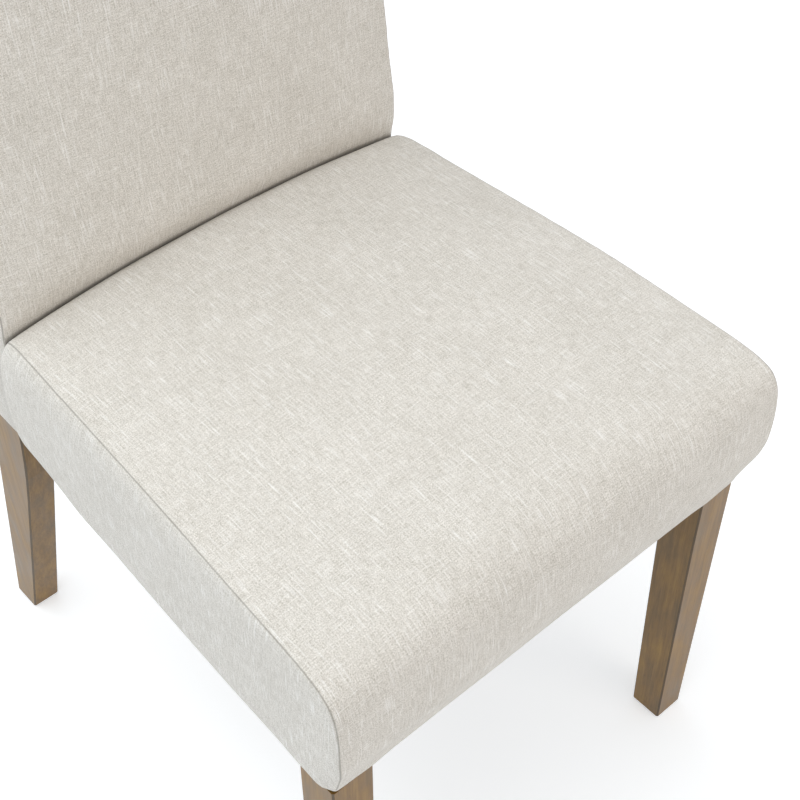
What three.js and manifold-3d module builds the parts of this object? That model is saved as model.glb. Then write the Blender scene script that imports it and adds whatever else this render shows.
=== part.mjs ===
// A parsons dining chair: a padded box seat and a padded back in plain linen, on square stained legs.
// Millimetres. X is to the right, Y runs from the front legs to the rear, Z is up from the floor.
// The rear legs run up inside the back as its posts. The seat is a separate box, bolted to the back.
import * as THREE from 'three';
import { mergeVertices } from 'three/addons/utils/BufferGeometryUtils.js';
import Module from 'manifold-3d';

const wasm = await Module();
wasm.setup();

// Fits
const gap = 0.3;
const overrun = 5;

// Overall
const chairHeight = 1000;
const frontWidth = 456;
const seatUnderside = 350;
const seatDepth = 431.7;
const backWidth = 424;
const rakeDegrees = 6.5;
const rakeLift = 29;

// Front legs
const legSize = 40;
const legFootSize = 34;
const legTaperDrop = 60;
const legEase = 1.5;

// Rear legs, which are also the posts of the back
const postThickness = 30;
const postFootDepth = 34.5;
const postKneeDepth = 52;
const postTopDepth = 26;
const postSeatDepth = 50;
const postKneeDrop = 100;
const postKneeSetback = 25.2;
const postSplayDegrees = 15.5;
const postDepthLift = 4;
const postEase = 1.5;

// Seat frame
const railThickness = 20;
const railHeight = 68.5;
const rearNarrowing = 23.8;
const blockReach = 55;
const blockHeight = 45;
const blockLift = 8;

// Back frame
const lowerRailLift = 4;
const lowerRailHeight = 105;
const middleRailLift = 5;
const middleRailHeight = 40;
const topRailHeight = 55;
const tenonLength = 18;
const tenonThickness = 10;
const tenonShoulder = 6;
const hardboardThickness = 3;
const hardboardMargin = 8;

// Webbing
const strapThickness = 1.2;
const strapWidth = 50;
const backStrapWidth = 60;
const strapEndMargin = 4;

// Cloth and padding
const clothThickness = 1.2;
const waddingThickness = 5;
const flangeWidth = 24;
const dustCoverThickness = 0.5;
const dustCoverMargin = 8;
const dustCoverClearance = 1;

// Form of the seat
const frontSwell = 20;
const cornerSwell = 8;
const sideBulge = 6;
const frontCrown = 2;
const swellHeight = 55;
const sideSwellHeight = 30;
const frontDroop = 5.5;
const droopLength = 180;
const seatEdgeRadius = 27;
const seatPadding = 56;
const seatCrown = 15;
const seatFootRadius = 4;
const seatCornerRadius = 4;

// Form of the back
const backHemLift = 8;
const backCornerRadius = 4;
const backRearRadius = 5;
const backEdgeRadius = 22;
const backCrown = 8;
const backSwell = 6;
const backSwellHeight = 20;
const backTopCrown = 3;
const backLip = 14;

// Hardware
const screwRadius = 1.75;
const screwHeadRadius = 4;
const screwHeadDepth = 2.6;
const screwLength = 25;
const screwGrip = 10;
const screwTip = 4;
const hangerRadius = 4;
const hangerInLeg = 28;
const hangerSpare = 4;
const washerRadius = 10;
const washerThickness = 1.6;
const nutAcrossFlats = 13;
const nutThickness = 6.5;
const boltRadius = 4;
const boltHeadRadius = 9;
const boltHeadThickness = 2.5;
const boltSpare = 3;
const teeFlangeRadius = 11;
const teeFlangeThickness = 1.5;
const teeBarrelRadius = 5.4;
const teeBarrelLength = 9;
const glideRadius = 11;
const glideThickness = 2;
const nailRadius = 1.25;
const nailLength = 12;

// Counts and shares
const seatWallShares = [0, 0.04, 0.11, 0.22, 0.33, 0.44, 0.63, 0.83, 1];
const waddingLevel = 4;
const foamLevel = 5;
const edgeSteps = 3;
const seatCrownShares = [0.15, 0.35, 0.6, 0.92];
const backTopShares = [0.5, 0.96];
const backSwellShares = [0.5, 1];
const backLevelShares = [0.12, 0.3, 0.5, 0.7, 0.88];
const rearSeatEdgeShare = 0.35;
const rearBackEdgeShare = 0.3;
const leastRadiusShare = 0.1;
const sideFullness = 3;
const edgeRadiusShare = 0.3;
const sideBulgeShares = [0.05, 0.75];
const longStrapShares = [-0.5, 0, 0.5];
const crossStrapShares = [0.34, 0.66];
const backStrapShares = [0.2, 0.5, 0.8];
const boltShares = [0.25, 0.55];
const screwPlaceShare = 0.4;
const cornerSteps = 3;
const sideSteps = 4;
const postCurveSteps = 6;
const roundSides = 12;
const nutSides = 6;

// Derived places
const rake = Math.tan(THREE.MathUtils.degToRad(rakeDegrees));
const splay = Math.tan(THREE.MathUtils.degToRad(postSplayDegrees));
const halfFront = frontWidth / 2;
const halfRear = halfFront - rearNarrowing;
const backHalf = backWidth / 2;
const skin = clothThickness + gap;
const legFoot = glideThickness + gap;
const legShoulder = seatUnderside - gap;
const legInner = halfFront - legSize;
const railBottom = seatUnderside + skin;
const railTop = railBottom + railHeight;
const seatShoulderHeight = railTop + seatPadding;
const rakeStart = seatShoulderHeight + rakeLift;
const seatTop = seatShoulderHeight + seatEdgeRadius;
const legTaperStart = seatUnderside - legTaperDrop;
const postKneeHeight = seatUnderside - postKneeDrop;
const postDepthHeight = seatShoulderHeight + postDepthLift;
const backHem = seatUnderside + backHemLift;
const lowerRailBottom = backHem + lowerRailLift;
const middleRailBottom = rakeStart + middleRailLift;
const rearRailBack = seatDepth - skin;
const rearRailFront = rearRailBack - railThickness;
const backFace = seatDepth + gap;
const lowerRailFront = backFace + skin;
const lowerRailBack = lowerRailFront + railThickness;
const lowerRailTop = lowerRailBottom + lowerRailHeight;
const postFront = lowerRailBack + gap;
const postOuter = backHalf - skin;
const postInner = postOuter - postThickness;
const postTop = chairHeight - backEdgeRadius - gap;
const webbingStep = strapThickness + gap;
const foamBottom = railTop + webbingStep + webbingStep + gap;
const blockBottom = railBottom + blockLift;
const hangerHeight = blockBottom + blockHeight / 2;
const boltHeight = (lowerRailBottom + railTop) / 2;

// Finishes
function finish(color, roughness, metalness = 0) {
  return { color, roughness, metalness };
}
const stainedWood = finish(0x8f7b66, 0.55);
const frameWood = finish(0xcaa97a, 0.75);
const linen = finish(0xdad5cc, 0.95);
const foamFill = finish(0xe9dfae, 0.9);
const wadding = finish(0xf4f4f0, 0.98);
const strapWeave = finish(0x5d4a37, 0.85);
const blackCloth = finish(0x202124, 0.95);
const hardboard = finish(0x7a5638, 0.7);
const zincSteel = finish(0xb9bcc0, 0.35, 1);
const nylon = finish(0x3a342e, 0.5);

const chair = new THREE.Group();
const seat = new THREE.Group();
const back = new THREE.Group();
const legs = new THREE.Group();
chair.add(seat, back, legs);

// Turns a closed three.js geometry into a solid that can be cut and joined.
function solidOf(geometry) {
  const bare = geometry.clone();
  bare.deleteAttribute('normal');
  bare.deleteAttribute('uv');
  const merged = mergeVertices(bare);
  const corners = merged.index.array;
  const kept = [];
  for (let k = 0; k < corners.length; k += 3) {
    const [a, b, c] = [corners[k], corners[k + 1], corners[k + 2]];
    if (a !== b && b !== c && c !== a) kept.push(a, b, c);
  }
  return new wasm.Manifold(new wasm.Mesh({
    numProp: 3,
    vertProperties: new Float32Array(merged.attributes.position.array),
    triVerts: new Uint32Array(kept),
  }));
}

function geometryOf(solid) {
  const mesh = solid.getMesh();
  const geometry = new THREE.BufferGeometry();
  geometry.setAttribute('position', new THREE.BufferAttribute(new Float32Array(mesh.vertProperties), 3));
  geometry.setIndex(new THREE.BufferAttribute(new Uint32Array(mesh.triVerts), 1));
  const flat = geometry.toNonIndexed();
  flat.computeVertexNormals();
  return flat;
}

// Adds a piece. A direction turns a piece that was made along Y to point that way.
function add(group, name, solid, look, place = [0, 0, 0], direction = null) {
  const mesh = new THREE.Mesh(geometryOf(solid), new THREE.MeshStandardMaterial(look));
  mesh.name = name;
  mesh.position.set(...place);
  if (direction) mesh.quaternion.setFromUnitVectors(new THREE.Vector3(0, 1, 0), unit(direction));
  group.add(mesh);
}

function unit(direction) {
  return new THREE.Vector3(...direction).normalize();
}

// A prism whose outline is given in two axes and which runs along the third, from low to high.
function prism(axis, outline, low, high) {
  const turned = axis === 'y' ? outline.map(([x, z]) => [z, x]) : outline;
  const shape = new THREE.Shape(turned.map(([u, v]) => new THREE.Vector2(u, v)));
  const geometry = new THREE.ExtrudeGeometry(shape, { depth: high - low, bevelEnabled: false });
  geometry.translate(0, 0, low);
  const x = new THREE.Vector3(1, 0, 0);
  const y = new THREE.Vector3(0, 1, 0);
  const z = new THREE.Vector3(0, 0, 1);
  const bases = { x: [y, z, x], y: [z, x, y], z: [x, y, z] };
  geometry.applyMatrix4(new THREE.Matrix4().makeBasis(...bases[axis]));
  return solidOf(geometry);
}

function rectangle(x0, x1, y0, y1) {
  return [[x0, y0], [x1, y0], [x1, y1], [x0, y1]];
}

// A turned piece along Y from a profile of radius and height that starts and ends on the axis.
function turned(profile) {
  const points = profile.map(([radius, height]) => new THREE.Vector2(radius, height));
  return solidOf(new THREE.LatheGeometry(points, roundSides));
}

// A round rod between two places, used for holes and pockets too.
function rod(from, to, radius) {
  const start = new THREE.Vector3(...from);
  const run = new THREE.Vector3(...to).sub(start);
  const geometry = new THREE.CylinderGeometry(radius, radius, run.length(), roundSides);
  geometry.translate(0, run.length() / 2, 0);
  geometry.applyQuaternion(new THREE.Quaternion().setFromUnitVectors(
    new THREE.Vector3(0, 1, 0), run.clone().normalize()));
  geometry.translate(...from);
  return solidOf(geometry);
}

// The hole that clears a round piece by the gap, measured at the flats of its sides.
function clearOf(radius) {
  return (radius + gap) / Math.cos(Math.PI / roundSides);
}

// The place a distance along a direction.
function along(place, direction, distance) {
  return new THREE.Vector3(...place).addScaledVector(unit(direction), distance).toArray();
}

// A closed solid through rings of matching points, listed from the bottom up, with a point in each cap.
function loft(rings) {
  const count = rings[0].length;
  const positions = rings.flat(2);
  const faces = [];
  for (let level = 0; level < rings.length - 1; level += 1) {
    for (let k = 0; k < count; k += 1) {
      const a = level * count + k;
      const b = level * count + (k + 1) % count;
      faces.push(a, b, b + count, a, b + count, a + count);
    }
  }
  const capCentre = (ring) => [0, 1, 2].map((axis) => ring.reduce((sum, p) => sum + p[axis], 0) / count);
  const first = positions.length / 3;
  const lastRing = (rings.length - 1) * count;
  positions.push(...capCentre(rings[0]), ...capCentre(rings[rings.length - 1]));
  for (let k = 0; k < count; k += 1) {
    const next = (k + 1) % count;
    faces.push(first, next, k, first + 1, lastRing + k, lastRing + next);
  }
  const geometry = new THREE.BufferGeometry();
  geometry.setAttribute('position', new THREE.Float32BufferAttribute(positions, 3));
  geometry.setIndex(faces);
  return solidOf(geometry);
}

// How far the seat's bottom edge lies from the middle at a depth: it narrows to the rear.
function bottomHalf(y) {
  return halfFront - rearNarrowing * (y / seatDepth);
}

// One level of a padded form from above, anticlockwise from its front left corner.
// The sides swell from behind the front corner to the rear, and the front swells in the middle.
function paddedRing({ front, rear, frontHalf, rearHalf, frontRadius, rearRadius, crown, bulge, height }) {
  const points = [];
  const corner = (sign, y, half, radius, inward, start) => {
    for (let k = 0; k <= cornerSteps; k += 1) {
      const angle = start + (Math.PI / 2) * (k / cornerSteps);
      const x = sign * (half - radius) + radius * Math.cos(angle);
      points.push([x, y + inward * radius + radius * Math.sin(angle), height]);
    }
  };
  const edge = (place) => {
    for (let k = 1; k <= sideSteps; k += 1) points.push([...place(k / (sideSteps + 1)), height]);
  };
  const fullness = (t) => THREE.MathUtils.smoothstep(t, ...sideBulgeShares);
  const sideX = (t) => frontHalf + (rearHalf - frontHalf) * t + bulge * fullness(t);
  const sideY = (t) => front + frontRadius + (rear - rearRadius - front - frontRadius) * t;
  const frontX = (t) => (frontHalf - frontRadius) * (t + t - 1);
  const rearX = (t) => (sideX(1) - rearRadius) * (1 - t - t);
  corner(-1, front, frontHalf, frontRadius, 1, Math.PI);
  edge((t) => [frontX(t), front - crown * Math.sin(Math.PI * t)]);
  corner(1, front, frontHalf, frontRadius, 1, -Math.PI / 2);
  edge((t) => [sideX(t), sideY(t)]);
  const rearEnd = sideX(1);
  corner(1, rear, rearEnd, rearRadius, -1, 0);
  edge((t) => [rearX(t), rear]);
  corner(-1, rear, rearEnd, rearRadius, -1, Math.PI / 2);
  edge((t) => [-sideX(1 - t), sideY(1 - t)]);
  return points;
}

// Draws a level ring in towards its middle by a share, and lifts it by a crown that is full in the middle
// and fades to nothing at each side.
function drawnIn(rim, share, crown) {
  const middle = [0, 1].map((axis) => rim.reduce((sum, p) => sum + p[axis], 0) / rim.length);
  const reach = [0, 1].map((axis) => Math.max(...rim.map((p) => Math.abs(p[axis] - middle[axis]))));
  return rim.map((p) => {
    const away = [0, 1].map((axis) => (p[axis] - middle[axis]) * (1 - share));
    const fades = away.map((length, axis) => 1 - (length / reach[axis]) ** 2);
    return [middle[0] + away[0], middle[1] + away[1], p[2] + crown * fades[0] * fades[1]];
  });
}

// A bulge's share over its span: it rises steeply from each end and stays full between them.
function roundedShare(place) {
  const within = THREE.MathUtils.clamp(place, 0, 1);
  const away = Math.abs(within + within - 1);
  return (1 - away ** sideFullness) ** (1 / sideFullness);
}

function insetRadius(radius, inset) {
  return Math.max(radius - inset, radius * leastRadiusShare);
}

function seatRing(height, inset, edgeInset) {
  const rise = THREE.MathUtils.smoothstep(height, seatUnderside, seatUnderside + swellHeight);
  const sideRise = THREE.MathUtils.smoothstep(height, seatUnderside, seatUnderside + sideSwellHeight);
  const wall = (height - seatUnderside) / (seatTop - inset - seatUnderside);
  const corner = seatFootRadius + (seatCornerRadius - seatFootRadius) * rise;
  const radius = insetRadius(corner, inset);
  return paddedRing({
    front: inset + edgeInset - frontSwell * rise,
    rear: seatDepth - inset - edgeInset * rearSeatEdgeShare,
    frontHalf: halfFront + cornerSwell * sideRise - inset,
    rearHalf: halfRear + cornerSwell * sideRise - inset,
    frontRadius: radius + edgeInset * edgeRadiusShare,
    rearRadius: radius,
    crown: frontCrown * rise,
    bulge: sideBulge * roundedShare(wall),
    height,
  });
}

// Lowers the front of a ring of the seat's upper edge by a share of the droop.
function drooped(ring, share) {
  const fade = (y) => 1 - THREE.MathUtils.smoothstep(y, 0, droopLength);
  return ring.map(([x, y, z]) => [x, y, z - frontDroop * share * fade(y)]);
}

// The seat's outer form, drawn in all over by an inset, from one of its wall levels up.
// A drop carries its bottom ring straight down, so that a cut runs out through the underside.
function seatForm(inset, firstLevel = 0, drop = 0) {
  const wall = seatShoulderHeight - seatUnderside;
  const heights = seatWallShares.slice(firstLevel).map((share) => seatUnderside + wall * share);
  const rings = heights.map((height) => seatRing(height, inset, 0));
  if (drop > 0) rings.unshift(rings[0].map(([x, y, z]) => [x, y, z - drop]));
  const radius = seatEdgeRadius - inset;
  for (let k = 1; k <= edgeSteps; k += 1) {
    const angle = (Math.PI / 2) * (k / edgeSteps);
    const height = seatShoulderHeight + radius * Math.sin(angle);
    rings.push(drooped(seatRing(height, inset, radius * (1 - Math.cos(angle))), Math.sin(angle)));
  }
  const rim = rings[rings.length - 1];
  for (const share of seatCrownShares) rings.push(drawnIn(rim, share, seatCrown));
  return loft(rings);
}

// The seat's bottom outline, drawn in by an inset, as the foot of a straight prism.
function seatPrism(inset, low, high) {
  const outline = seatRing(seatUnderside, inset, 0).map(([x, y]) => [x, y]);
  return prism('z', outline, low, high);
}

// The crossing of two lines in the YZ plane, each given by a point and its slope of Y on Z.
function meeting([y0, z0], slope0, [y1, z1], slope1) {
  const z = (y0 - slope0 * z0 - y1 + slope1 * z1) / (slope1 - slope0);
  return [y0 + slope0 * (z - z0), z];
}

// A smooth bend that leaves a lower point at one slope and ends, as far on, at another slope.
function bend(lower, lowerSlope, corner, upperSlope) {
  const rise = corner[1] - lower[1];
  const end = [corner[0] + upperSlope * rise, corner[1] + rise];
  const vectors = [lower, corner, end].map((p) => new THREE.Vector2(...p));
  return new THREE.QuadraticBezierCurve(...vectors).getPoints(postCurveSteps).map((p) => [p.x, p.y]);
}

// The height along a list of YZ points where each step is straight, read back as Y.
function yAt(points, z) {
  const last = points.length - 2;
  const found = points.findIndex((p, k) => k < last && z < points[k + 1][1]);
  const k = found < 0 ? last : found;
  const [[y0, z0], [y1, z1]] = [points[k], points[k + 1]];
  return y0 + (y1 - y0) * ((z - z0) / (z1 - z0));
}

// Front and rear edges of a post, from the foot to the top.
const kneeFront = [postFront + postKneeSetback, postKneeHeight];
const footFront = [kneeFront[0] + splay * (postKneeHeight - legFoot), legFoot];
const topFront = [postFront + rake * (postTop - rakeStart), postTop];
const frontCorner = meeting(kneeFront, -splay, [postFront, postKneeHeight], 0);
const frontEdge = [footFront, ...bend(kneeFront, -splay, frontCorner, 0), [postFront, rakeStart], topFront];

const kneeRear = [kneeFront[0] + postKneeDepth, postKneeHeight];
const footRear = [footFront[0] + postFootDepth, legFoot];
const topRear = [topFront[0] + postTopDepth, postTop];
const seatRear = [postFront + postSeatDepth, postDepthHeight];
const rearSlopeBelow = (kneeRear[0] - footRear[0]) / (kneeRear[1] - footRear[1]);
const rearSlopeAbove = (topRear[0] - seatRear[0]) / (topRear[1] - seatRear[1]);
const rearCorner = meeting(kneeRear, rearSlopeBelow, seatRear, rearSlopeAbove);
const rearEdge = [footRear, ...bend(kneeRear, rearSlopeBelow, rearCorner, rearSlopeAbove), topRear];

// The line that the back's cover, foam and rails follow in front: upright, then raked.
function faceAt(start, z) {
  return start + rake * Math.max(0, z - rakeStart);
}

// The back's outer form at a height. The rear follows the posts, behind the hardboard.
function backRing(height, inset, edgeInset) {
  const draw = inset + edgeInset;
  const share = (height - rakeStart) / (chairHeight - rakeStart);
  const reach = gap + hardboardThickness + skin;
  const swell = backSwell * THREE.MathUtils.smoothstep(height, seatTop, seatTop + backSwellHeight);
  return paddedRing({
    front: faceAt(backFace, height) - swell + draw,
    rear: yAt(rearEdge, height) + reach - inset - edgeInset * rearBackEdgeShare,
    frontHalf: backHalf - draw,
    rearHalf: backHalf - draw,
    frontRadius: insetRadius(backCornerRadius, inset),
    rearRadius: insetRadius(backRearRadius, inset),
    crown: backCrown * Math.sin(Math.PI * THREE.MathUtils.clamp(share, 0, 1)),
    bulge: 0,
    height,
  });
}

function backForm(inset, drop = 0) {
  const shoulder = chairHeight - backEdgeRadius;
  const bends = rearEdge.map((p) => p[1]).filter((z) => z > backHem + overrun && z < shoulder - overrun);
  const even = backLevelShares.map((share) => rakeStart + (shoulder - rakeStart) * share);
  const swells = backSwellShares.map((share) => seatTop + backSwellHeight * share);
  const sorted = [backHem, rakeStart, shoulder, ...swells, ...bends, ...even].sort((a, b) => a - b);
  const heights = sorted.filter((z, k) => k === 0 || z - sorted[k - 1] > gap);
  const rings = heights.map((height) => backRing(height, inset, 0));
  if (drop > 0) rings.unshift(rings[0].map(([x, y, z]) => [x, y, z - drop]));
  const radius = backEdgeRadius - inset;
  for (let k = 1; k <= edgeSteps; k += 1) {
    const angle = (Math.PI / 2) * (k / edgeSteps);
    const height = shoulder - backTopCrown + radius * Math.sin(angle);
    rings.push(backRing(height, inset, radius * (1 - Math.cos(angle))));
  }
  const rim = rings[rings.length - 1];
  for (const share of backTopShares) rings.push(drawnIn(rim, share, backTopCrown));
  return loft(rings);
}

const sides = [['left', -1], ['right', 1]];

// A square rod's outline with its corners eased, at one height.
function easedSquare(x0, x1, y0, y1, ease, height) {
  const outline = [
    [x0 + ease, y0], [x1 - ease, y0], [x1, y0 + ease], [x1, y1 - ease],
    [x1 - ease, y1], [x0 + ease, y1], [x0, y1 - ease], [x0, y0 + ease],
  ];
  return outline.map(([x, y]) => [x, y, height]);
}

// Plan of the corner blocks, for the right side. The front one faces the leg squarely.
const railOuter = (y) => bottomHalf(y) - skin;
const railInner = (y) => railOuter(y) - railThickness;
const blockStart = [legInner - gap - blockReach, skin + railThickness + gap];
const blockSlope = rearNarrowing / seatDepth;
const blockEndY = (railInner(0) - gap - blockStart[0] + blockStart[1]) / (1 + blockSlope);
const blockEnd = [railInner(blockEndY) - gap, blockEndY];
const legCorner = [legInner, legSize];
const blockDepth = (legCorner[0] - legCorner[1] - blockStart[0] + blockStart[1]) * Math.SQRT1_2;
const rearBlockY = rearRailFront - gap;
const rearBlockCorner = [railInner(rearBlockY) - gap, rearBlockY];

// Screws of a corner block, for the right side: the head's place in plan and the way it points.
const frontScrews = [
  { head: [blockStart[0] + blockReach * screwPlaceShare, blockStart[1] + screwGrip], way: [0, -1] },
  { head: [blockEnd[0] - screwGrip, blockEnd[1] - blockReach * screwPlaceShare], way: [1, 0] },
];
const rearScrews = [
  { head: [rearBlockCorner[0] - blockReach * screwPlaceShare, rearBlockY - screwGrip], way: [0, 1] },
  { head: [rearBlockCorner[0] - screwGrip, rearBlockY - blockReach * screwPlaceShare], way: [1, 0] },
];

function screwPlace({ head, way }, sign) {
  return { place: [head[0] * sign, head[1], hangerHeight], direction: [way[0] * sign, way[1], 0] };
}

// The room that a screw takes up: its own hole, and a pocket for the driver behind its head.
function screwRoom(screw, sign) {
  const { place, direction } = screwPlace(screw, sign);
  const hole = rod(place, along(place, direction, screwLength + gap), clearOf(screwRadius));
  const pocketEnd = along(place, direction, -blockReach);
  const pocketStart = along(place, direction, screwHeadDepth + gap);
  return hole.add(rod(pocketStart, pocketEnd, clearOf(screwHeadRadius)));
}

// The hanger bolt's line: from the leg's inner corner into the leg, on the diagonal.
const hangerWay = (sign) => [sign, -1, 0];
const hangerCorner = (sign) => [legCorner[0] * sign, legCorner[1], hangerHeight];
const hangerTail = blockDepth + washerThickness + gap + gap + nutThickness + gap + hangerSpare;

function hangerRoom(sign) {
  const inward = along(hangerCorner(sign), hangerWay(sign), hangerInLeg + gap);
  const outward = along(hangerCorner(sign), hangerWay(sign), -hangerTail);
  return rod(inward, outward, clearOf(hangerRadius));
}

function nailRoom(x, y) {
  return rod([x, y, -overrun], [x, y, glideThickness + nailLength + gap], clearOf(nailRadius));
}

const frontGlidePlace = (sign) => [sign * (halfFront - legFootSize / 2), legFootSize / 2, 0];
const rearGlidePlace = (sign) => {
  return [sign * (postOuter - postThickness / 2), footFront[0] + postFootDepth / 2, 0];
};

// Front legs: square, with the inner faces tapered, and cut back above to pass inside the cover.
function frontLeg(sign) {
  const levels = [[legFootSize, legFoot], [legSize, legTaperStart], [legSize, legShoulder]];
  const rings = levels.map(([size, height]) => {
    return easedSquare(...legSpan(sign, size), 0, size, legEase, height);
  });
  const [x, y] = frontGlidePlace(sign);
  const blockOutline = rectangle(...legSpan(sign, legSize), 0, legSize);
  const inside = seatPrism(skin, legShoulder - overrun, railTop);
  const block = prism('z', blockOutline, legShoulder - overrun, railTop + overrun).intersect(inside);
  return loft(rings).add(block).subtract(hangerRoom(sign)).subtract(nailRoom(x, y));
}

// The span in X of a front leg of a given size, whose outer face lies at the chair's front width.
function legSpan(sign, size) {
  const [near, far] = [halfFront - size, halfFront];
  return sign > 0 ? [near, far] : [-far, -near];
}

// The block of room that a front leg takes up in the cloth at the seat's underside.
function legRoom(sign, clearance) {
  const [near, far] = [legInner - clearance, halfFront + overrun];
  const [x0, x1] = sign > 0 ? [near, far] : [-far, -near];
  const outline = rectangle(x0, x1, -overrun, legSize + clearance);
  return prism('z', outline, legShoulder - overrun, railBottom - gap / 2);
}

// A rail of the back frame between the posts, with a tenon at each end, grown all round by a clearance.
function tenonOutline(low, high, clearance) {
  const inset = (railThickness - tenonThickness) / 2 - clearance;
  const [z0, z1] = [low + tenonShoulder - clearance, high - tenonShoulder + clearance];
  const width = tenonThickness + clearance + clearance;
  const [y0, y1] = [z0, z1].map((z) => faceAt(postFront, z) + inset);
  return [[y0, z0], [y0 + width, z0], [y1 + width, z1], [y1, z1]];
}

function backRail(low, high) {
  const [y0, y1] = [low, high].map((z) => faceAt(postFront, z));
  const outline = [[y0, low], [y0 + railThickness, low], [y1 + railThickness, high], [y1, high]];
  const half = postInner - gap;
  const tenon = prism('x', tenonOutline(low, high, 0), -postInner - tenonLength, postInner + tenonLength);
  return prism('x', outline, -half, half).add(tenon);
}

const topRailTop = postTop - tenonShoulder;
const backRails = [
  ['back_middle_rail', middleRailBottom, middleRailBottom + middleRailHeight],
  ['back_top_rail', topRailTop - topRailHeight, topRailTop],
];

// A post, eased along its arrises, with a mortise for each rail's tenon.
function post(sign) {
  const [near, far] = [postInner, postOuter];
  const [x0, x1] = sign > 0 ? [near, far] : [-far, -near];
  const bends = [...frontEdge, ...rearEdge].map((p) => p[1]).sort((a, b) => a - b);
  const heights = bends.filter((z, k) => k === 0 || z - bends[k - 1] > gap);
  let solid = loft(heights.map((z) => easedSquare(x0, x1, yAt(frontEdge, z), yAt(rearEdge, z), postEase, z)));
  for (const [, low, high] of backRails) {
    const depth = tenonLength + gap;
    const [from, to] = sign > 0 ? [near - overrun, near + depth] : [-near - depth, -near + overrun];
    solid = solid.subtract(prism('x', tenonOutline(low, high, gap), from, to));
  }
  const [x, y] = rearGlidePlace(sign);
  return solid.subtract(nailRoom(x, y));
}

function frontBlock(sign) {
  const outline = [
    blockStart,
    [legInner - gap, blockStart[1]],
    [legInner - gap, legSize + gap],
    [railInner(legSize + gap) - gap, legSize + gap],
    blockEnd,
  ].map(([x, y]) => [x * sign, y]);
  const solid = prism('z', outline, blockBottom, blockBottom + blockHeight).subtract(hangerRoom(sign));
  return frontScrews.reduce((cut, screw) => cut.subtract(screwRoom(screw, sign)), solid);
}

function rearBlock(sign) {
  const sideEnd = rearBlockY - blockReach;
  const outline = [
    rearBlockCorner,
    [rearBlockCorner[0] - blockReach, rearBlockY],
    [railInner(sideEnd) - gap, sideEnd],
  ].map(([x, y]) => [x * sign, y]);
  const solid = prism('z', outline, blockBottom, blockBottom + blockHeight);
  return rearScrews.reduce((cut, screw) => cut.subtract(screwRoom(screw, sign)), solid);
}

function frontRail() {
  const half = legInner - gap;
  const outline = rectangle(-half, half, skin, skin + railThickness);
  let rail = prism('z', outline, railBottom, railTop);
  for (const [, sign] of sides) rail = rail.subtract(screwRoom(frontScrews[0], sign));
  return rail;
}

function sideRail(sign) {
  const near = legSize + gap;
  const outline = [
    [railInner(near), near], [bottomHalf(near), near],
    [bottomHalf(rearRailBack), rearRailBack], [railInner(rearRailBack), rearRailBack],
  ].map(([x, y]) => [x * sign, y]);
  const inside = seatPrism(skin, railBottom - overrun, railTop + overrun);
  const rail = prism('z', outline, railBottom, railTop).intersect(inside);
  return [frontScrews[1], rearScrews[1]].reduce((cut, screw) => cut.subtract(screwRoom(screw, sign)), rail);
}

// The seat is held to the back by bolts in a row, from inside the seat box into tee nuts.
const boltHalf = railInner(rearRailFront);
const boltPlaces = boltShares.flatMap((share) => [-share * boltHalf, share * boltHalf]);
boltPlaces.sort((a, b) => a - b);

function boltRoom(x, low, high, radius) {
  return rod([x, low, boltHeight], [x, high, boltHeight], clearOf(radius));
}

function boltHoles(solid) {
  const [low, high] = [rearRailFront - overrun, lowerRailBack + overrun];
  return boltPlaces.reduce((held, x) => held.subtract(boltRoom(x, low, high, boltRadius)), solid);
}

function rearRail() {
  const ends = [rearRailFront, rearRailBack].map((y) => [railInner(y) - gap, y]);
  const outline = [[-ends[0][0], ends[0][1]], ends[0], ends[1], [-ends[1][0], ends[1][1]]];
  let rail = boltHoles(prism('z', outline, railBottom, railTop));
  for (const [, sign] of sides) rail = rail.subtract(screwRoom(rearScrews[0], sign));
  return rail;
}

function lowerRail() {
  const half = backHalf - backCornerRadius;
  const outline = rectangle(-half, half, lowerRailFront, lowerRailBack);
  const solid = boltHoles(prism('z', outline, lowerRailBottom, lowerRailTop));
  const from = lowerRailBack - teeBarrelLength - gap;
  return boltPlaces.reduce((held, x) => held.subtract(
    boltRoom(x, from, lowerRailBack + overrun, teeBarrelRadius)), solid);
}

// Seat webbing is woven: each strap rises over every second strap that it meets.
const strapMiddles = longStrapShares.map((share) => share * railInner(rearRailFront) * longStrapSpread());
const crossMiddles = crossStrapShares.map((share) => seatDepth * share);

function longStrapSpread() {
  const widest = Math.max(...longStrapShares);
  return (1 - (strapWidth / 2 + gap) / railInner(rearRailFront)) / (widest + 1 / 2);
}

function strapOutline(start, end, crossings, risesFirst) {
  const low = railTop + gap;
  const lead = strapWidth / 2 + webbingStep + webbingStep;
  const points = [[start, low]];
  crossings.forEach((middle, k) => {
    const rises = (k % 2 === 0) === risesFirst;
    const level = rises ? low + webbingStep : low;
    points.push([middle - lead, level], [middle + lead, level]);
  });
  points.push([end, low]);
  const upper = points.map(([s, z]) => [s, z + strapThickness]).reverse();
  return [...points, ...upper];
}

function longStrap(k) {
  const outline = strapOutline(
    skin + strapEndMargin, rearRailBack - strapEndMargin, crossMiddles, k % 2 === 0);
  const x = strapMiddles[k];
  return prism('x', outline, x - strapWidth / 2, x + strapWidth / 2);
}

function crossStrap(k) {
  const y = crossMiddles[k];
  const reach = railOuter(y) - strapEndMargin;
  const outline = strapOutline(-reach, reach, strapMiddles, k % 2 === 1);
  return prism('y', outline, y - strapWidth / 2, y + strapWidth / 2);
}

function seatFoam() {
  const form = seatForm(skin + waddingThickness + gap, foamLevel);
  return form.subtract(frameRoom());
}

// The room of the whole seat frame and its webbing, which the padding keeps clear of.
function frameRoom() {
  return seatPrism(clothThickness, seatUnderside - overrun, foamBottom);
}

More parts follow.
